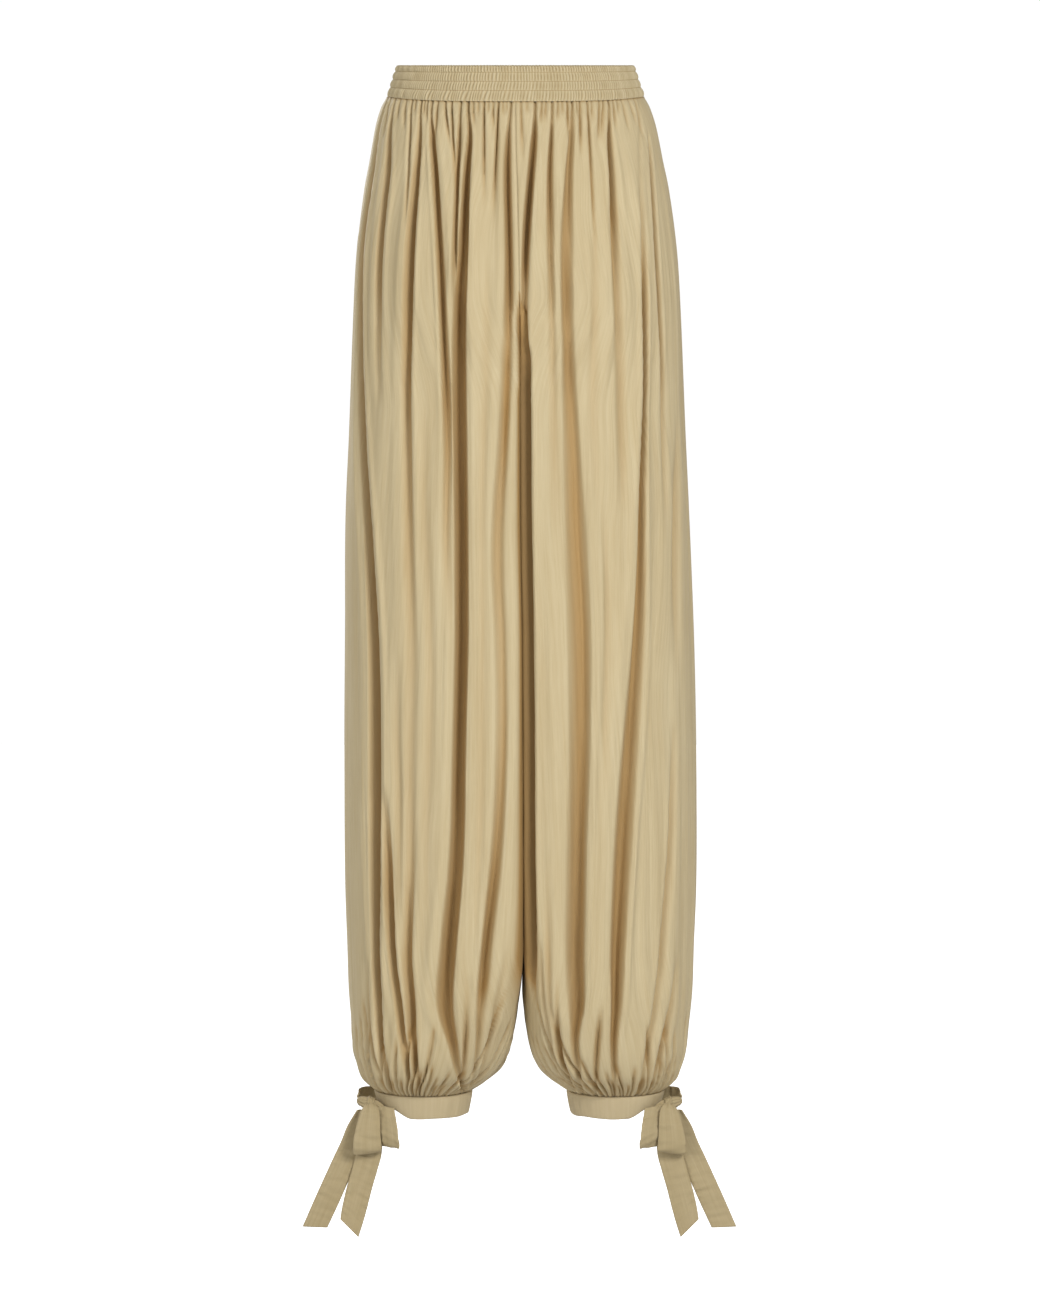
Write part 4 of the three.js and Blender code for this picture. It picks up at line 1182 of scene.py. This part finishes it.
    def _spread(self, sections: Sections, drapes: list[Drape], pleats: list[Pleat]) -> np.ndarray:
        """Spreads the columns over each row, closest together where the cloth folds.

        Args:
            sections: the panel's sections.
            drapes: the long folds.
            pleats: the gathers of the waist.

        Returns:
            The place of each column on each row.
        """
        z, arcs = sections.z, sections.arcs
        at_fold, at_gather = self.crowding
        on_inner_leg = 0.45 + 0.55 * (1 - ease(z, -960, -860))[:, None]
        weight = np.where(arcs < sections.corner[:, None] - 12, on_inner_leg, 1.0)
        for long_fold, centre, depth in drapes:
            wide = (long_fold.read("inner", z) + long_fold.read("outer", z))[:, None] * 0.75
            weight = weight + at_fold * depth[:, None] * np.exp(-((arcs - centre[:, None]) / wide) ** 2)
        for centre, strength, half in pleats:
            off = (arcs - centre[:, None]) / (half[:, None] * 1.3)
            weight = weight + at_gather * strength[:, None] * np.exp(-off ** 2)
        steps = np.diff(arcs, axis=1) * (weight[:, 1:] + weight[:, :-1]) / 2
        share = np.concatenate([np.zeros((self.rows, 1)), np.cumsum(steps, axis=1)], axis=1)
        share += np.linspace(0, 1e-6, arcs.shape[1])
        wanted = np.linspace(0, 1, self.columns)
        return np.stack([np.interp(wanted, share[i] / share[i, -1], arcs[i]) for i in range(self.rows)])

    def _relief(self, arc: np.ndarray, sections: Sections, drapes: list[Drape],
                pleats: list[Pleat]) -> tuple[np.ndarray, np.ndarray]:
        """How far each point lies inside the plain section.

        Args:
            arc: the place of each column on each row.
            sections: the panel's sections.
            drapes: the long folds.
            pleats: the gathers of the waist.

        Returns:
            The depth at each point, in millimetres, and the painted shade: how deep in a fold, a gather or a
            seam it lies, from 0 to 1.
        """
        z, length = sections.z, sections.arcs[:, -1]
        level = z[:, None]
        away, up = SEAM_TOP - level, level - SEAM_LOW
        drop, crease = np.zeros_like(arc), np.zeros_like(arc)
        fold_shade, gather_shade, _ = self.full_shade
        narrow = 0.6 + 0.4 * ease(SEAM_TOP - z, 4, 50)
        sideways, wide, tall = self.wander
        for index, (long_fold, centre, depth) in enumerate(drapes):
            wander = sideways * drift(np.full_like(z, 50.0 * index), z, wide, tall, self.seed * 31 + index)
            off = arc - (centre + wander * np.clip(depth / 6, 0, 1))[:, None]
            inner = np.clip(long_fold.read("inner", z) * narrow, self.narrowest, None)[:, None]
            outer = np.clip(long_fold.read("outer", z) * narrow, self.narrowest, None)[:, None]
            share, inside = trough(off, inner, outer, long_fold.flat)
            drop += depth[:, None] * share
            # Painted shade in the fold, reaching further across steep folds.
            steep = ease(depth[:, None] / (inner + outer), 0.5, 0.9)
            crease += np.clip(depth / fold_shade, 0, 1)[:, None] * inside ** (1 - 0.62 * steep)
        for centre, strength, half in pleats:
            share, inside = trough(arc - centre[:, None], half[:, None], half[:, None], self.crease_flat)
            drop += strength[:, None] * share
            # Painted shade in the gather.
            crease += np.clip(strength / gather_shade, 0, 1)[:, None] * inside
        gathered, pinch_shade = self._cuff_gathers(arc, length, z)
        drop += gathered + self._unevenness(level, ease(away, 15, 120) * ease(up, 20, 110))
        # Painted shade in the cuff gathers.
        crease += pinch_shade
        waist_puff, cuff_puff = bulge(away, 1, 11, 14, 70), bulge(up, 1, 13, 16, 60)
        drop += self.pulled_in * (2 - ease(away, 0, 5) - ease(up, 0, 5))
        drop -= self.puffs[0] * waist_puff + self.puffs[1] * cuff_puff
        edge = np.minimum(arc, length[:, None] - arc)
        held = ease(edge, 0, 5)
        at_seam = -self.seam_puffs[0] * waist_puff - self.seam_puffs[1] * cuff_puff
        dip = self.seam_dip * np.clip(1 - edge / 2.4, 0, 1) ** 2
        # Painted shade along the waist and cuff seams, where the cloth tucks into the seam.
        seam_groove_shade = 0.85 * (1 - np.minimum(ease(away, 0, 2.2), ease(up, 0, 2.2)))
        drop = held * drop + (1 - held) * at_seam + dip
        return drop, np.clip(np.maximum(crease, seam_groove_shade), 0, 1)

    def _unevenness(self, level: np.ndarray, free: np.ndarray) -> np.ndarray:
        """The broad swells of the free cloth, and its fine ripples.

        Args:
            level: the height of each row.
            free: how free the cloth hangs there, from 0 to 1.

        Returns:
            Its depth at each point, in millimetres.
        """
        across = np.linspace(0, 1, self.columns)[None, :] * self.flat[0] / MM
        waves = []
        for index, (height, wide, tall) in enumerate((*self.swells, self.ripple)):
            waves.append(height * drift(across, level, wide, tall, self.seed + 11 + index))
        *broad, fine = waves
        return free * sum(broad) + fine * (0.35 + 0.65 * free)

    def _cuff_gathers(self, arc: np.ndarray, length: np.ndarray,
                      z: np.ndarray) -> tuple[np.ndarray, np.ndarray]:
        """The gathers above the cuff, which fan out over the full leg.

        Args:
            arc: the place of each column on each row.
            length: the length of each row's section.
            z: the height of each row.

        Returns:
            Their depth at each point, in millimetres, and the painted shade: how deep in a gather it lies,
            from 0 to 1.
        """
        draw = np.random.default_rng(self.seed + 70)
        up = z - SEAM_LOW
        total, crease = np.zeros_like(arc), np.zeros_like(arc)
        for index in range(CUFF_GATHERS):
            share = (index + 0.5 + draw.uniform(-0.33, 0.33)) / CUFF_GATHERS
            reach = 18 + 95 * draw.uniform() ** 1.5
            lean = draw.uniform(-0.014, 0.014)
            deep = 4.6 + 6.4 * min(reach / 80, 1) * draw.uniform(0.6, 1)
            run = np.clip(up / reach, 0, 1)
            bend = 0.006 * drift(np.full_like(z, 9.0 * index), z, 30, 26, self.seed + index)
            centre = (share + lean * run + bend * run) * length
            half = ((1.35 + 2.9 * run) * draw.uniform(0.8, 1.25))[:, None]
            strength = deep * (0.6 + 0.4 * ease(up, 0, 12)) * (1 - ease(up, reach * 0.4, reach))
            part, inside = trough(arc - centre[:, None], half, half, self.crease_flat)
            total += strength[:, None] * part
            # Painted shade in the gather.
            crease += np.clip(strength / self.full_shade[2], 0, 1)[:, None] * inside
        return total, crease

    def dress(self) -> None:
        """Builds the panel and gives it its cloth."""
        place(self.build(), f"leg_{self.key}", self.finish)


@dataclass
class Waistband:
    """The shirred elastic band: four ruched channels between three rows of stitching. Millimetres."""

    top: float = 17.5
    height: float = 35
    side_top: float = 118
    side_bottom: float = 128
    deep_top: float = 76
    deep_bottom: float = 82
    wall: float = 2.4
    stitching: tuple[float, ...] = (0, 6.5, 15.5, 24.5, 35)
    puff: float = 1.3
    ruches: int = 244
    ruche_depth: float = 2.3
    columns: int = 1464
    slants: tuple[float, ...] = (-0.12, 0.05, 0.3, 0.35)
    channel_rows: tuple[float, ...] = (0.0, 0.06, 0.16, 0.32, 0.5, 0.68, 0.84, 0.94)
    flat: tuple[float, float] = (0.94, 0.035)
    finish: Finish = BAND_CLOTH

    def _ruching(self, angle: np.ndarray, drop: float, channel: int) -> np.ndarray:
        """The fine ruches across one channel, each with its own lean and strength.

        Args:
            angle: the angle of each column.
            drop: the distance below the top edge.
            channel: which channel the row lies in.

        Returns:
            The height of the ruches, from 0 to 1.
        """
        draw = np.random.default_rng(90 + channel)
        phase = self.ruches * angle
        for _ in range(6):
            waves = draw.integers(3, 40)
            phase = phase + draw.uniform(0.3, 1.0) * np.sin(waves * angle + draw.uniform(0, math.tau))
        middle = (self.stitching[channel] + self.stitching[channel + 1]) / 2
        phase = phase + self.slants[channel] * (drop - middle)
        strength = np.full_like(angle, 0.72)
        for _ in range(5):
            waves = draw.integers(5, 60)
            strength = strength + 0.05 * np.sin(waves * angle + draw.uniform(0, math.tau))
        return np.abs(np.cos(phase / 2)) ** 0.9 * strength

    def _ring(self, angle: np.ndarray, drop: float, out: np.ndarray | float) -> np.ndarray:
        """One ring of the band.

        Args:
            angle: the angle of each column.
            drop: the distance below the top edge.
            out: how far outside the plain band it lies.

        Returns:
            The ring's points.
        """
        share = drop / self.height
        x = (self.side_top + (self.side_bottom - self.side_top) * share + out) * np.cos(angle)
        y = (self.deep_top + (self.deep_bottom - self.deep_top) * share + out) * np.sin(angle)
        lift = SIDE_LIFT * share * np.abs(np.cos(angle)) ** 4
        return np.stack([x, y, self.top - drop + WAIST_TILT * y + lift], axis=-1)

    def _outer_rings(self, angle: np.ndarray) -> tuple[list[np.ndarray], list[float], list[np.ndarray]]:
        """The ruched outside, channel by channel, down to the lower edge.

        Args:
            angle: the angle of each column.

        Returns:
            The rings, how far down the cloth each lies, and the painted shade: how deep in a ruche or on the
            stitching its points lie.
        """
        rings, down, shades = [], [], []
        for channel, (start, end) in enumerate(zip(self.stitching, self.stitching[1:])):
            for share in self.channel_rows:
                drop = start + (end - start) * share
                full = math.sin(math.pi * max(share, 0.03)) ** 0.6
                if channel == 0:
                    full = max(full, 0.75 * (1 - share))
                ruche = self._ruching(angle, drop, channel)
                out = self.puff * (full - 0.35) + self.ruche_depth * (0.3 + 0.7 * full) * (ruche - 0.5)
                rings.append(self._ring(angle, max(drop, 0.4), out))
                down.append(drop)
                # Painted shade in the valleys between ruches and in the stitched grooves.
                pinch_shade = np.clip(1.3 * (0.75 - ruche), 0, 1) * (0.35 + 0.65 * full)
                stitching_groove_shade = 0.8 * (share == 0)
                shades.append(np.clip(pinch_shade + stitching_groove_shade, 0, 1))
        last_channel = len(self.slants) - 1
        hem = 0.35 * self._ruching(angle, self.height, last_channel) - 0.3
        rings.append(self._ring(angle, self.height + 0.1, hem))
        down.append(self.height)
        return rings, down, shades

    def _inner_rings(self, angle: np.ndarray) -> tuple[list[np.ndarray], list[float]]:
        """The flatter inside, from the lower edge up to the crest of the band.

        Args:
            angle: the angle of each column.

        Returns:
            The rings, and how far along the doubled cloth each lies.
        """
        profile = [(self.height, -1.3), (self.height - 1, -self.wall)]
        for drop, swell in ((24.5, 0.3), (20, -0.3), (15.5, 0.3), (11, -0.3), (6.5, 0.3), (1.2, 0)):
            profile.append((drop, swell - self.wall))
        rings, down = [], []
        for drop, out in profile:
            ripple = 0.3 * self._ruching(angle, drop, 1)
            rings.append(self._ring(angle, drop, out + ripple - 0.15))
            down.append(2 * self.height - drop)
        crest = self._ring(angle, 0.0, -1.0)
        crest[:, 2] += 0.5 * self._ruching(angle, 0, 0)
        return rings + [crest], down + [2 * self.height]

    def dress(self) -> None:
        """Builds the band as one closed ring and gives it its cloth."""
        angle = np.linspace(0, math.tau, self.columns, endpoint=False)
        outside, down, shades = self._outer_rings(angle)
        inside, further_down = self._inner_rings(angle)
        points = np.array(outside + inside)
        along_band = angle[None, :] / math.tau * self.flat[0]
        cloth = over(along_band, np.array(down + further_down)[:, None] * MM)
        piece = ring_mesh("waistband_cloth", points, cloth)
        unshaded = np.zeros((len(points) - len(shades), self.columns))
        shade_creases(piece, np.concatenate([np.array(shades), unshaded]))
        place(piece, "waistband", self.finish)


@dataclass
class Cuff:
    """A pressed ankle band, narrower at the outer ankle where its ties leave it. Millimetres.

    rise is how much higher its lower edge is there.
    """

    side: Side
    top: float = CUFF_TOP
    height: float = 22.5
    centre: float = 96
    wide: float = 49
    deep: float = 36
    wide_below: float = 45
    deep_below: float = 34
    wall: float = 2.4
    rise: float = 9
    columns: int = 220
    flat: tuple[float, float] = (0.27, 0.025)
    finish: Finish = CUFF_CLOTH

    def profile(self) -> list[tuple[float, float]]:
        """The section of the band, as shares of its height and distances outside the plain cuff."""
        outside = [(0.0, -0.5), (0.03, 0.15), (0.1, 0.5), (0.25, 0.75), (0.45, 0.75), (0.65, 0.65),
                   (0.82, 0.55), (0.93, 0.45), (0.985, 0.1), (1.0, -0.7)]
        inside = [(share, -self.wall) for share in (0.9, 0.6, 0.3, 0.04)]
        return [*outside, (0.985, 0.6 - self.wall), *inside, (0.0, -1.4)]

    def dress(self) -> None:
        """Builds the cuff as one closed ring and gives it its cloth."""
        angle = np.linspace(0, math.tau, self.columns, endpoint=False)
        seed = 300 + self.side.value
        inner_end = np.sin(angle / 2) ** 2
        outer_end = ease(np.cos(angle), 0.25, 0.75)
        bend = 0.4 * inner_end * drift(angle * 60, np.zeros_like(angle), 26, 40, seed)
        profile = self.profile()
        rings = []
        for share, out in profile:
            wavy = drift(angle * 60, np.full_like(angle, share * 25), 12, 18, seed + 1)
            wavy = 0.5 * wavy * math.sin(math.pi * share) * inner_end
            x = (self.wide + (self.wide_below - self.wide) * share + out + wavy) * np.cos(angle)
            y = (self.deep + (self.deep_below - self.deep) * share + out + wavy) * np.sin(angle)
            z = self.top - share * (self.height - self.rise * outer_end) + CUFF_DIP * y + bend * share
            rings.append(np.stack([self.side.value * (self.centre + x) + CUFF_SWAY, y, z], axis=-1))
        down = np.array([share for share, _ in profile]) * self.height * MM
        fold_line = int(np.argmax(down))
        down[fold_line:] = 2 * self.height * MM - down[fold_line:]
        cloth = over(angle[None, :] / math.tau * self.flat[0], down[:, None])
        name = f"cuff_{self.side.word}"
        piece = ring_mesh(f"{name}_cloth", np.array(rings), cloth)
        place(piece, name, self.finish)


class Pose(NamedTuple):
    """One station of a tie, measured out from the middle of the garment, in millimetres and degrees.

    tilt turns the strip's width up at its outer edge, and turn swings that edge to the back.
    """

    x: float
    y: float
    z: float
    wide: float
    tilt: float
    turn: float


TIES: dict[str, tuple[Pose, ...]] = {
    "wrap": (
        Pose(121, 31.9, -1015, 19.5, 90, 0), Pose(134, 26, -1014.5, 19.5, 90, 0),
        Pose(146, 18, -1014, 19.5, 90, 0), Pose(155, 8.5, -1013.5, 19, 90, 0),
        Pose(160.3, -1.5, -1014, 17.5, 90, 0), Pose(161.3, -13.6, -1015, 12, 90, 0),
    ),
    "front_loop": (
        Pose(149.1, -31.2, -1018.5, 9, -8, 0), Pose(149.1, -34.5, -1025.5, 18.5, -8, 0),
        Pose(150.3, -37.5, -1038, 24, -8, 0), Pose(151.4, -38.5, -1051, 27, -6, 0),
        Pose(151.3, -37.5, -1060.5, 28.5, -4, 0), Pose(151.3, -33.5, -1066.3, 28.5, -4, 0),
        Pose(151.3, -28.5, -1065.5, 28, -4, 0), Pose(151.3, -25.3, -1057, 26, -4, 0),
        Pose(151.2, -24, -1045, 21, -4, 0), Pose(151, -24, -1034, 12, -4, 0),
    ),
    "rear_loop": (
        Pose(133.2, -29.5, -1021.5, 19, 8, 20), Pose(132.2, -33, -1030, 20, 8, 22),
        Pose(130.3, -37, -1038, 20, 8, 25), Pose(129.3, -39.5, -1048, 20, 8, 25),
        Pose(128.4, -38, -1056.5, 20, 8, 25), Pose(128.3, -33.3, -1061, 20, 8, 25),
        Pose(128.5, -29, -1055.5, 19.5, 8, 25), Pose(130.6, -28.5, -1045.5, 17.5, 8, 25),
        Pose(133, -28.2, -1035, 13, 8, 25),
    ),
    "outer_tail": (
        Pose(156.5, -18.5, -1025.1, 11, 0, 0), Pose(161, -17.5, -1041, 21, 0, 0),
        Pose(165, -17, -1057, 26, 0, 0), Pose(173.5, -17.5, -1075, 26, 0, 2),
        Pose(184.5, -18.5, -1099, 26, 0, 4), Pose(192.5, -18, -1117, 26, 1, 4),
        Pose(204, -16, -1142.5, 25, 2, 3),
    ),
    "inner_tail": (
        Pose(148.5, -20.5, -1027.6, 9, 8, 0), Pose(148, -21, -1046, 21, 8, 0),
        Pose(149.5, -21.5, -1066, 25, 8, 0), Pose(154, -21.5, -1084, 25, 8, -2),
        Pose(159.5, -22, -1103, 25, 10, -4), Pose(164, -23, -1121, 25, 22, -4),
        Pose(169.5, -24, -1143, 25.5, 45, -3),
    ),
}


@dataclass
class TieStrip:
    """One stretch of a cuff's tie: a doubled strip, thicker along its seamed edges. Millimetres."""

    side: Side
    part: str
    seed: int
    thick: float = 1.1
    edge_bead: float = 0.45
    crown: float = 0.03
    wrinkle: float = 0.45
    pleat: float = 1.3
    pleats_across: float = 2.2
    stations: int = 110
    across: int = 15
    cut_width: float = 25
    least_area: float = 0.32
    finish: Finish = TIE_CLOTH

    def _read(self, name: str, t: np.ndarray) -> np.ndarray:
        """A smooth curve through one column of the tie's table, at shares of its length."""
        rows = TIES[self.part]
        steps = np.arange(len(rows), dtype=float)
        return along(-steps, [getattr(row, name) for row in rows], -t * steps[-1])

    def _height(self, t: np.ndarray, run: np.ndarray, width: np.ndarray) -> np.ndarray:
        """How far each point of the strip lies outside its middle layer.

        Args:
            t: the share of the length at each station.
            run: the length up to each station.
            width: the width there.

        Returns:
            The height at each station and each point of the section.
        """
        ring, level = ribbon_ring(self.across)
        across = ring[None, :] * width[:, None]
        rounding = np.sqrt(np.clip(1 - (2 * np.abs(ring)) ** 8, 0, 1))
        bead = self.edge_bead * np.exp(-(((np.abs(ring) - 0.43) / 0.05) ** 2))
        half = (self.thick + bead) / 2 * rounding * level
        loose = 0.2 + 0.8 * ease(t, 0, 0.15)[:, None] * ease(t, 1.0, 0.9)[:, None]
        slope = 0.25 * across
        folds = drift(run[:, None] + slope, across, 5.5, 22, self.seed)
        folds = folds + 0.6 * drift(run[:, None] - slope, across, 13, 30, self.seed + 1)
        pinch = (1 - ease(width, 8, 24))[:, None]
        pleat = self.pleat * pinch * np.cos(math.tau * self.pleats_across * ring[None, :] + 0.4)
        crown = self.crown * width[:, None] * (1 - 4 * ring[None, :] ** 2)
        return half[None, :] + crown + self.wrinkle * loose * folds + pleat

    def _caps(self, count: int) -> list[list[int]]:
        """The faces that close both ends.

        Args:
            count: how many points the section has.

        Returns:
            The point numbers of each face, some with a point twice.
        """
        faces = []
        last = self.across - 1
        for first, turned in ((0, False), ((self.stations - 1) * count, True)):
            row = list(range(first, first + count))
            top, low = row[:self.across], [row[0], *row[:last:-1], row[last]]
            for k in range(last):
                face = [top[k], top[k + 1], low[k + 1], low[k]]
                faces.append(face[::-1] if turned else face)
        return faces

    def dress(self) -> None:
        """Builds the strip as a closed ribbon and gives it its cloth."""
        t = np.linspace(0, 1, self.stations)
        centre = np.stack([self._read(name, t) for name in ("x", "y", "z")], axis=-1)
        along_it = np.gradient(centre, axis=0)
        along_it /= np.linalg.norm(along_it, axis=1)[:, None]
        steps = np.linalg.norm(np.diff(centre, axis=0), axis=1)
        run = np.concatenate([[0], np.cumsum(steps)])
        width = self._read("wide", t)
        tilt, turn = np.radians(self._read("tilt", t)), np.radians(self._read("turn", t))
        across = np.stack([np.cos(turn) * np.cos(tilt), np.sin(turn) * np.cos(tilt), np.sin(tilt)], axis=-1)
        out = np.cross(along_it, across)
        out /= np.linalg.norm(out, axis=1)[:, None]
        ring, _ = ribbon_ring(self.across)
        place_on = (ring[None, :] * width[:, None])[..., None]
        height = self._height(t, run, width)[..., None]
        points = centre[:, None, :] + across[:, None, :] * place_on + out[:, None, :] * height
        points[..., 0] = self.side.value * points[..., 0] + CUFF_SWAY
        cloth = over(ring[None, :] * self.cut_width * MM + self.seed, run[:, None] * MM)
        quads = grid_quads(self.stations, len(ring), joined_columns=True)
        name = f"{self.part}_{self.side.word}"
        piece = ribbon_mesh(f"{name}_cloth", points.reshape(-1, 3), quads, self._caps(len(ring)),
                            cloth.reshape(-1, 2))
        place(piece, name, self.finish)


@dataclass
class Knot:
    """The bow's knot: a pleated roll with one turn of the tie wound over it. Millimetres and degrees."""

    side: Side
    x: float = 148
    y: float = -22
    z: float = -1020
    long: float = 15.5
    thick: float = 7.6
    tall: float = 6.4
    slope: float = 20
    swing: float = 20
    turn_wide: float = 11
    turn_thick: float = 1.6
    stations: int = 64
    around: int = 72
    turn_stations: int = 120
    turn_across: int = 13
    flat: tuple[float, float] = (0.025, 0.052)
    girth: float = 0.045
    finish: Finish = TIE_CLOTH

    def _set(self, local: np.ndarray) -> np.ndarray:
        """Turns points of the knot into its lie and moves them to the ankle.

        Args:
            local: points along, across and up the knot.

        Returns:
            The points in the garment's frame.
        """
        lean = Matrix.Rotation(math.radians(-self.slope), 3, "Y")
        spin = Matrix.Rotation(math.radians(self.swing), 3, "Z")
        point = local @ np.array(spin @ lean).T
        point = point + np.array([self.x, self.y, self.z])
        point[..., 0] = self.side.value * point[..., 0] + CUFF_SWAY
        return point

    def _roll(self) -> tuple[np.ndarray, np.ndarray]:
        """The pleated roll.

        Returns:
            Its points along, across and up the knot, and their places on the flat cloth.
        """
        along_it = np.linspace(0.02, math.pi - 0.02, self.stations)[:, None]
        round_it = np.linspace(0, math.tau, self.around, endpoint=False)[None, :]
        pleats = 0.1 * np.cos(7 * round_it + 2.4 * np.cos(along_it))
        pleats = pleats + 0.05 * np.cos(13 * round_it - 1.7 * along_it)
        girth = np.sin(along_it) ** 0.75 * (1 + pleats * np.sin(along_it) - 0.1)
        points = np.stack(np.broadcast_arrays(
            -self.long * np.cos(along_it),
            self.thick * girth * np.cos(round_it),
            self.tall * girth * np.sin(round_it)), axis=-1)
        return points, over(along_it / math.pi * 0.03, round_it / math.tau * self.girth)

    def _turn(self) -> tuple[np.ndarray, np.ndarray]:
        """The turn of the tie that is wound over the roll.

        Returns:
            Its points along, across and up the knot, and their places on the flat cloth.
        """
        wind = np.linspace(0, math.tau, self.turn_stations, endpoint=False)[:, None]
        ring, level = (values[None, :] for values in ribbon_ring(self.turn_across))
        crease = 0.45 * np.cos(math.tau * 2.6 * ring + 1.2 * np.sin(wind))
        crease = crease + 0.25 * np.cos(9 * wind + 4 * ring)
        rounding = np.sqrt(np.clip(1 - (2 * np.abs(ring)) ** 6, 0, 1))
        lift = self.turn_thick / 2 * level * rounding + crease
        radius = 0.98 * (1 + 0.06 * np.cos(wind - 0.6))
        place_on = ring * self.turn_wide * (0.85 + 0.15 * np.cos(wind + 0.8))
        points = np.stack(np.broadcast_arrays(
            place_on + 3.2 * np.sin(wind + 0.5) - 1.0,
            (self.thick * radius + lift) * np.cos(wind),
            (self.tall * radius + lift) * np.sin(wind)), axis=-1)
        return points, over(ring * 0.02 + 0.1, wind / math.tau * self.girth)

    def dress(self) -> None:
        """Builds the roll and the turn over it as one piece, and gives it its cloth."""
        (roll, roll_cloth), (turn, turn_cloth) = self._roll(), self._turn()
        points = self._set(np.concatenate([roll.reshape(-1, 3), turn.reshape(-1, 3)]))
        cloth = np.concatenate([roll_cloth.reshape(-1, 2), turn_cloth.reshape(-1, 2)])
        roll_quads = grid_quads(self.stations, self.around, joined_columns=True)
        turn_quads = grid_quads(*turn.shape[:2], joined_rows=True, joined_columns=True)
        roll_points = self.stations * self.around
        caps = [list(range(self.around))[::-1], list(range(roll_points - self.around, roll_points))]
        name = f"knot_{self.side.word}"
        quads = np.concatenate([roll_quads, turn_quads + roll_points])
        piece = ribbon_mesh(f"{name}_cloth", points, quads, caps, cloth)
        place(piece, name, self.finish)


class Lamp(NamedTuple):
    """One large square light: its place and side in metres, its power in watts, and its colour."""

    name: str
    at: tuple[float, float, float]
    size: float
    power: float
    colour: tuple[float, float, float]


LAMPS = (
    Lamp("key", (2.5, -4.3, 1.5), 1.5, 176, (1.0, 0.985, 0.965)),
    Lamp("fill", (-2.9, -3.9, 0.2), 2.2, 74, (1.0, 0.975, 0.93)),
    Lamp("back", (-2.4, 3.8, 1.6), 2.2, 120, (1.0, 1.0, 1.0)),
)


@dataclass
class Studio:
    """A pale floor, soft light and a camera at the height of the middle of the garment. Metres."""

    distance: float = 6.0
    frame_height: float = 1.3
    sensor: float = 36.0
    centre_x: float = 0.0045
    centre_z: float = -0.567
    floor_drop: float = 0.22
    floor_radius: float = 45
    floor_grey: float = 0.7
    surround_light: float = 0.33
    surround_seen: float = 1.02

    def camera(self) -> None:
        """Adds the camera, level and straight in front of the garment."""
        data = bpy.data.cameras.new("camera")
        data.sensor_fit = "AUTO"
        data.sensor_width = self.sensor
        data.lens = self.sensor * self.distance / self.frame_height
        data.clip_end = 100
        eye = bpy.data.objects.new("camera", data)
        eye.location = (self.centre_x, -self.distance, self.centre_z)
        eye.rotation_euler = (math.radians(90), 0, 0)
        bpy.context.scene.collection.objects.link(eye)
        bpy.context.scene.camera = eye

    def floor(self) -> None:
        """Adds the pale plain floor below the ties."""
        bpy.ops.object.select_all(action="DESELECT")
        low = CAD_BOX[0].z - self.floor_drop
        bpy.ops.mesh.primitive_circle_add(vertices=96, radius=self.floor_radius, fill_type="NGON")
        floor = bpy.context.object
        floor.name = "floor"
        for vertex in floor.data.vertices:
            vertex.co.z = low
        material = bpy.data.materials.new("floor")
        material.use_nodes = True
        shader = material.node_tree.nodes["Principled BSDF"]
        shader.inputs["Base Color"].default_value = (self.floor_grey, self.floor_grey, self.floor_grey, 1)
        shader.inputs["Roughness"].default_value = 0.9
        shader.inputs["Specular IOR Level"].default_value = 0.1
        shader.inputs["Emission Color"].default_value = (1, 1, 1, 1)
        nodes, links = material.node_tree.nodes, material.node_tree.links
        seen = nodes.new("ShaderNodeLightPath")
        links.new(seen.outputs["Is Camera Ray"], shader.inputs["Emission Strength"])
        floor.data.materials.append(material)

    def light(self, lamp: Lamp) -> None:
        """Adds one light that faces the middle of the garment.

        Args:
            lamp: the light.
        """
        data = bpy.data.lights.new(lamp.name, "AREA")
        data.shape = "SQUARE"
        data.size = lamp.size
        data.energy = lamp.power
        data.color = lamp.colour
        piece = bpy.data.objects.new(lamp.name, data)
        piece.location = lamp.at
        aim = Vector((0, 0, self.centre_z)) - Vector(lamp.at)
        piece.rotation_euler = aim.to_track_quat("-Z", "Y").to_euler()
        bpy.context.scene.collection.objects.link(piece)

    def world(self) -> None:
        """A white surround: bright where the camera sees it, softer where it lights the cloth."""
        scene = bpy.context.scene
        scene.world = bpy.data.worlds.new("surround")
        scene.world.use_nodes = True
        nodes, links = scene.world.node_tree.nodes, scene.world.node_tree.links
        sky = nodes["Background"]
        sky.inputs["Color"].default_value = (1, 1, 1, 1)
        seen = nodes.new("ShaderNodeLightPath")
        level = nodes.new("ShaderNodeMapRange")
        level.inputs["To Min"].default_value = self.surround_light
        level.inputs["To Max"].default_value = self.surround_seen
        links.new(seen.outputs["Is Camera Ray"], level.inputs["Value"])
        links.new(level.outputs["Result"], sky.inputs["Strength"])

    def build(self) -> None:
        """Sets up the whole studio."""
        self.camera()
        self.floor()
        self.world()
        for lamp in LAMPS:
            self.light(lamp)
        view = bpy.context.scene.view_settings
        view.view_transform = "Standard"
        view.look = "None"


def main() -> None:
    """Builds the studio and the garment, piece by piece."""
    logging.basicConfig(level=logging.INFO, format="%(name)s: %(message)s")
    Studio().build()
    Waistband().dress()
    panel_seed = 1
    for side in Side:
        for face in Face:
            at_dark_split = side is Side.LEFT and face is Face.FRONT
            LegPanel(side, face, panel_seed, set_back=SPLIT_SHOWS if at_dark_split else 0.0).dress()
            panel_seed += 5
        Cuff(side).dress()
        Knot(side).dress()
        for index, part in enumerate(TIES):
            TieStrip(side, part, seed=500 + 40 * index + 7 * side.value).dress()


if __name__ == "__main__":
    main()
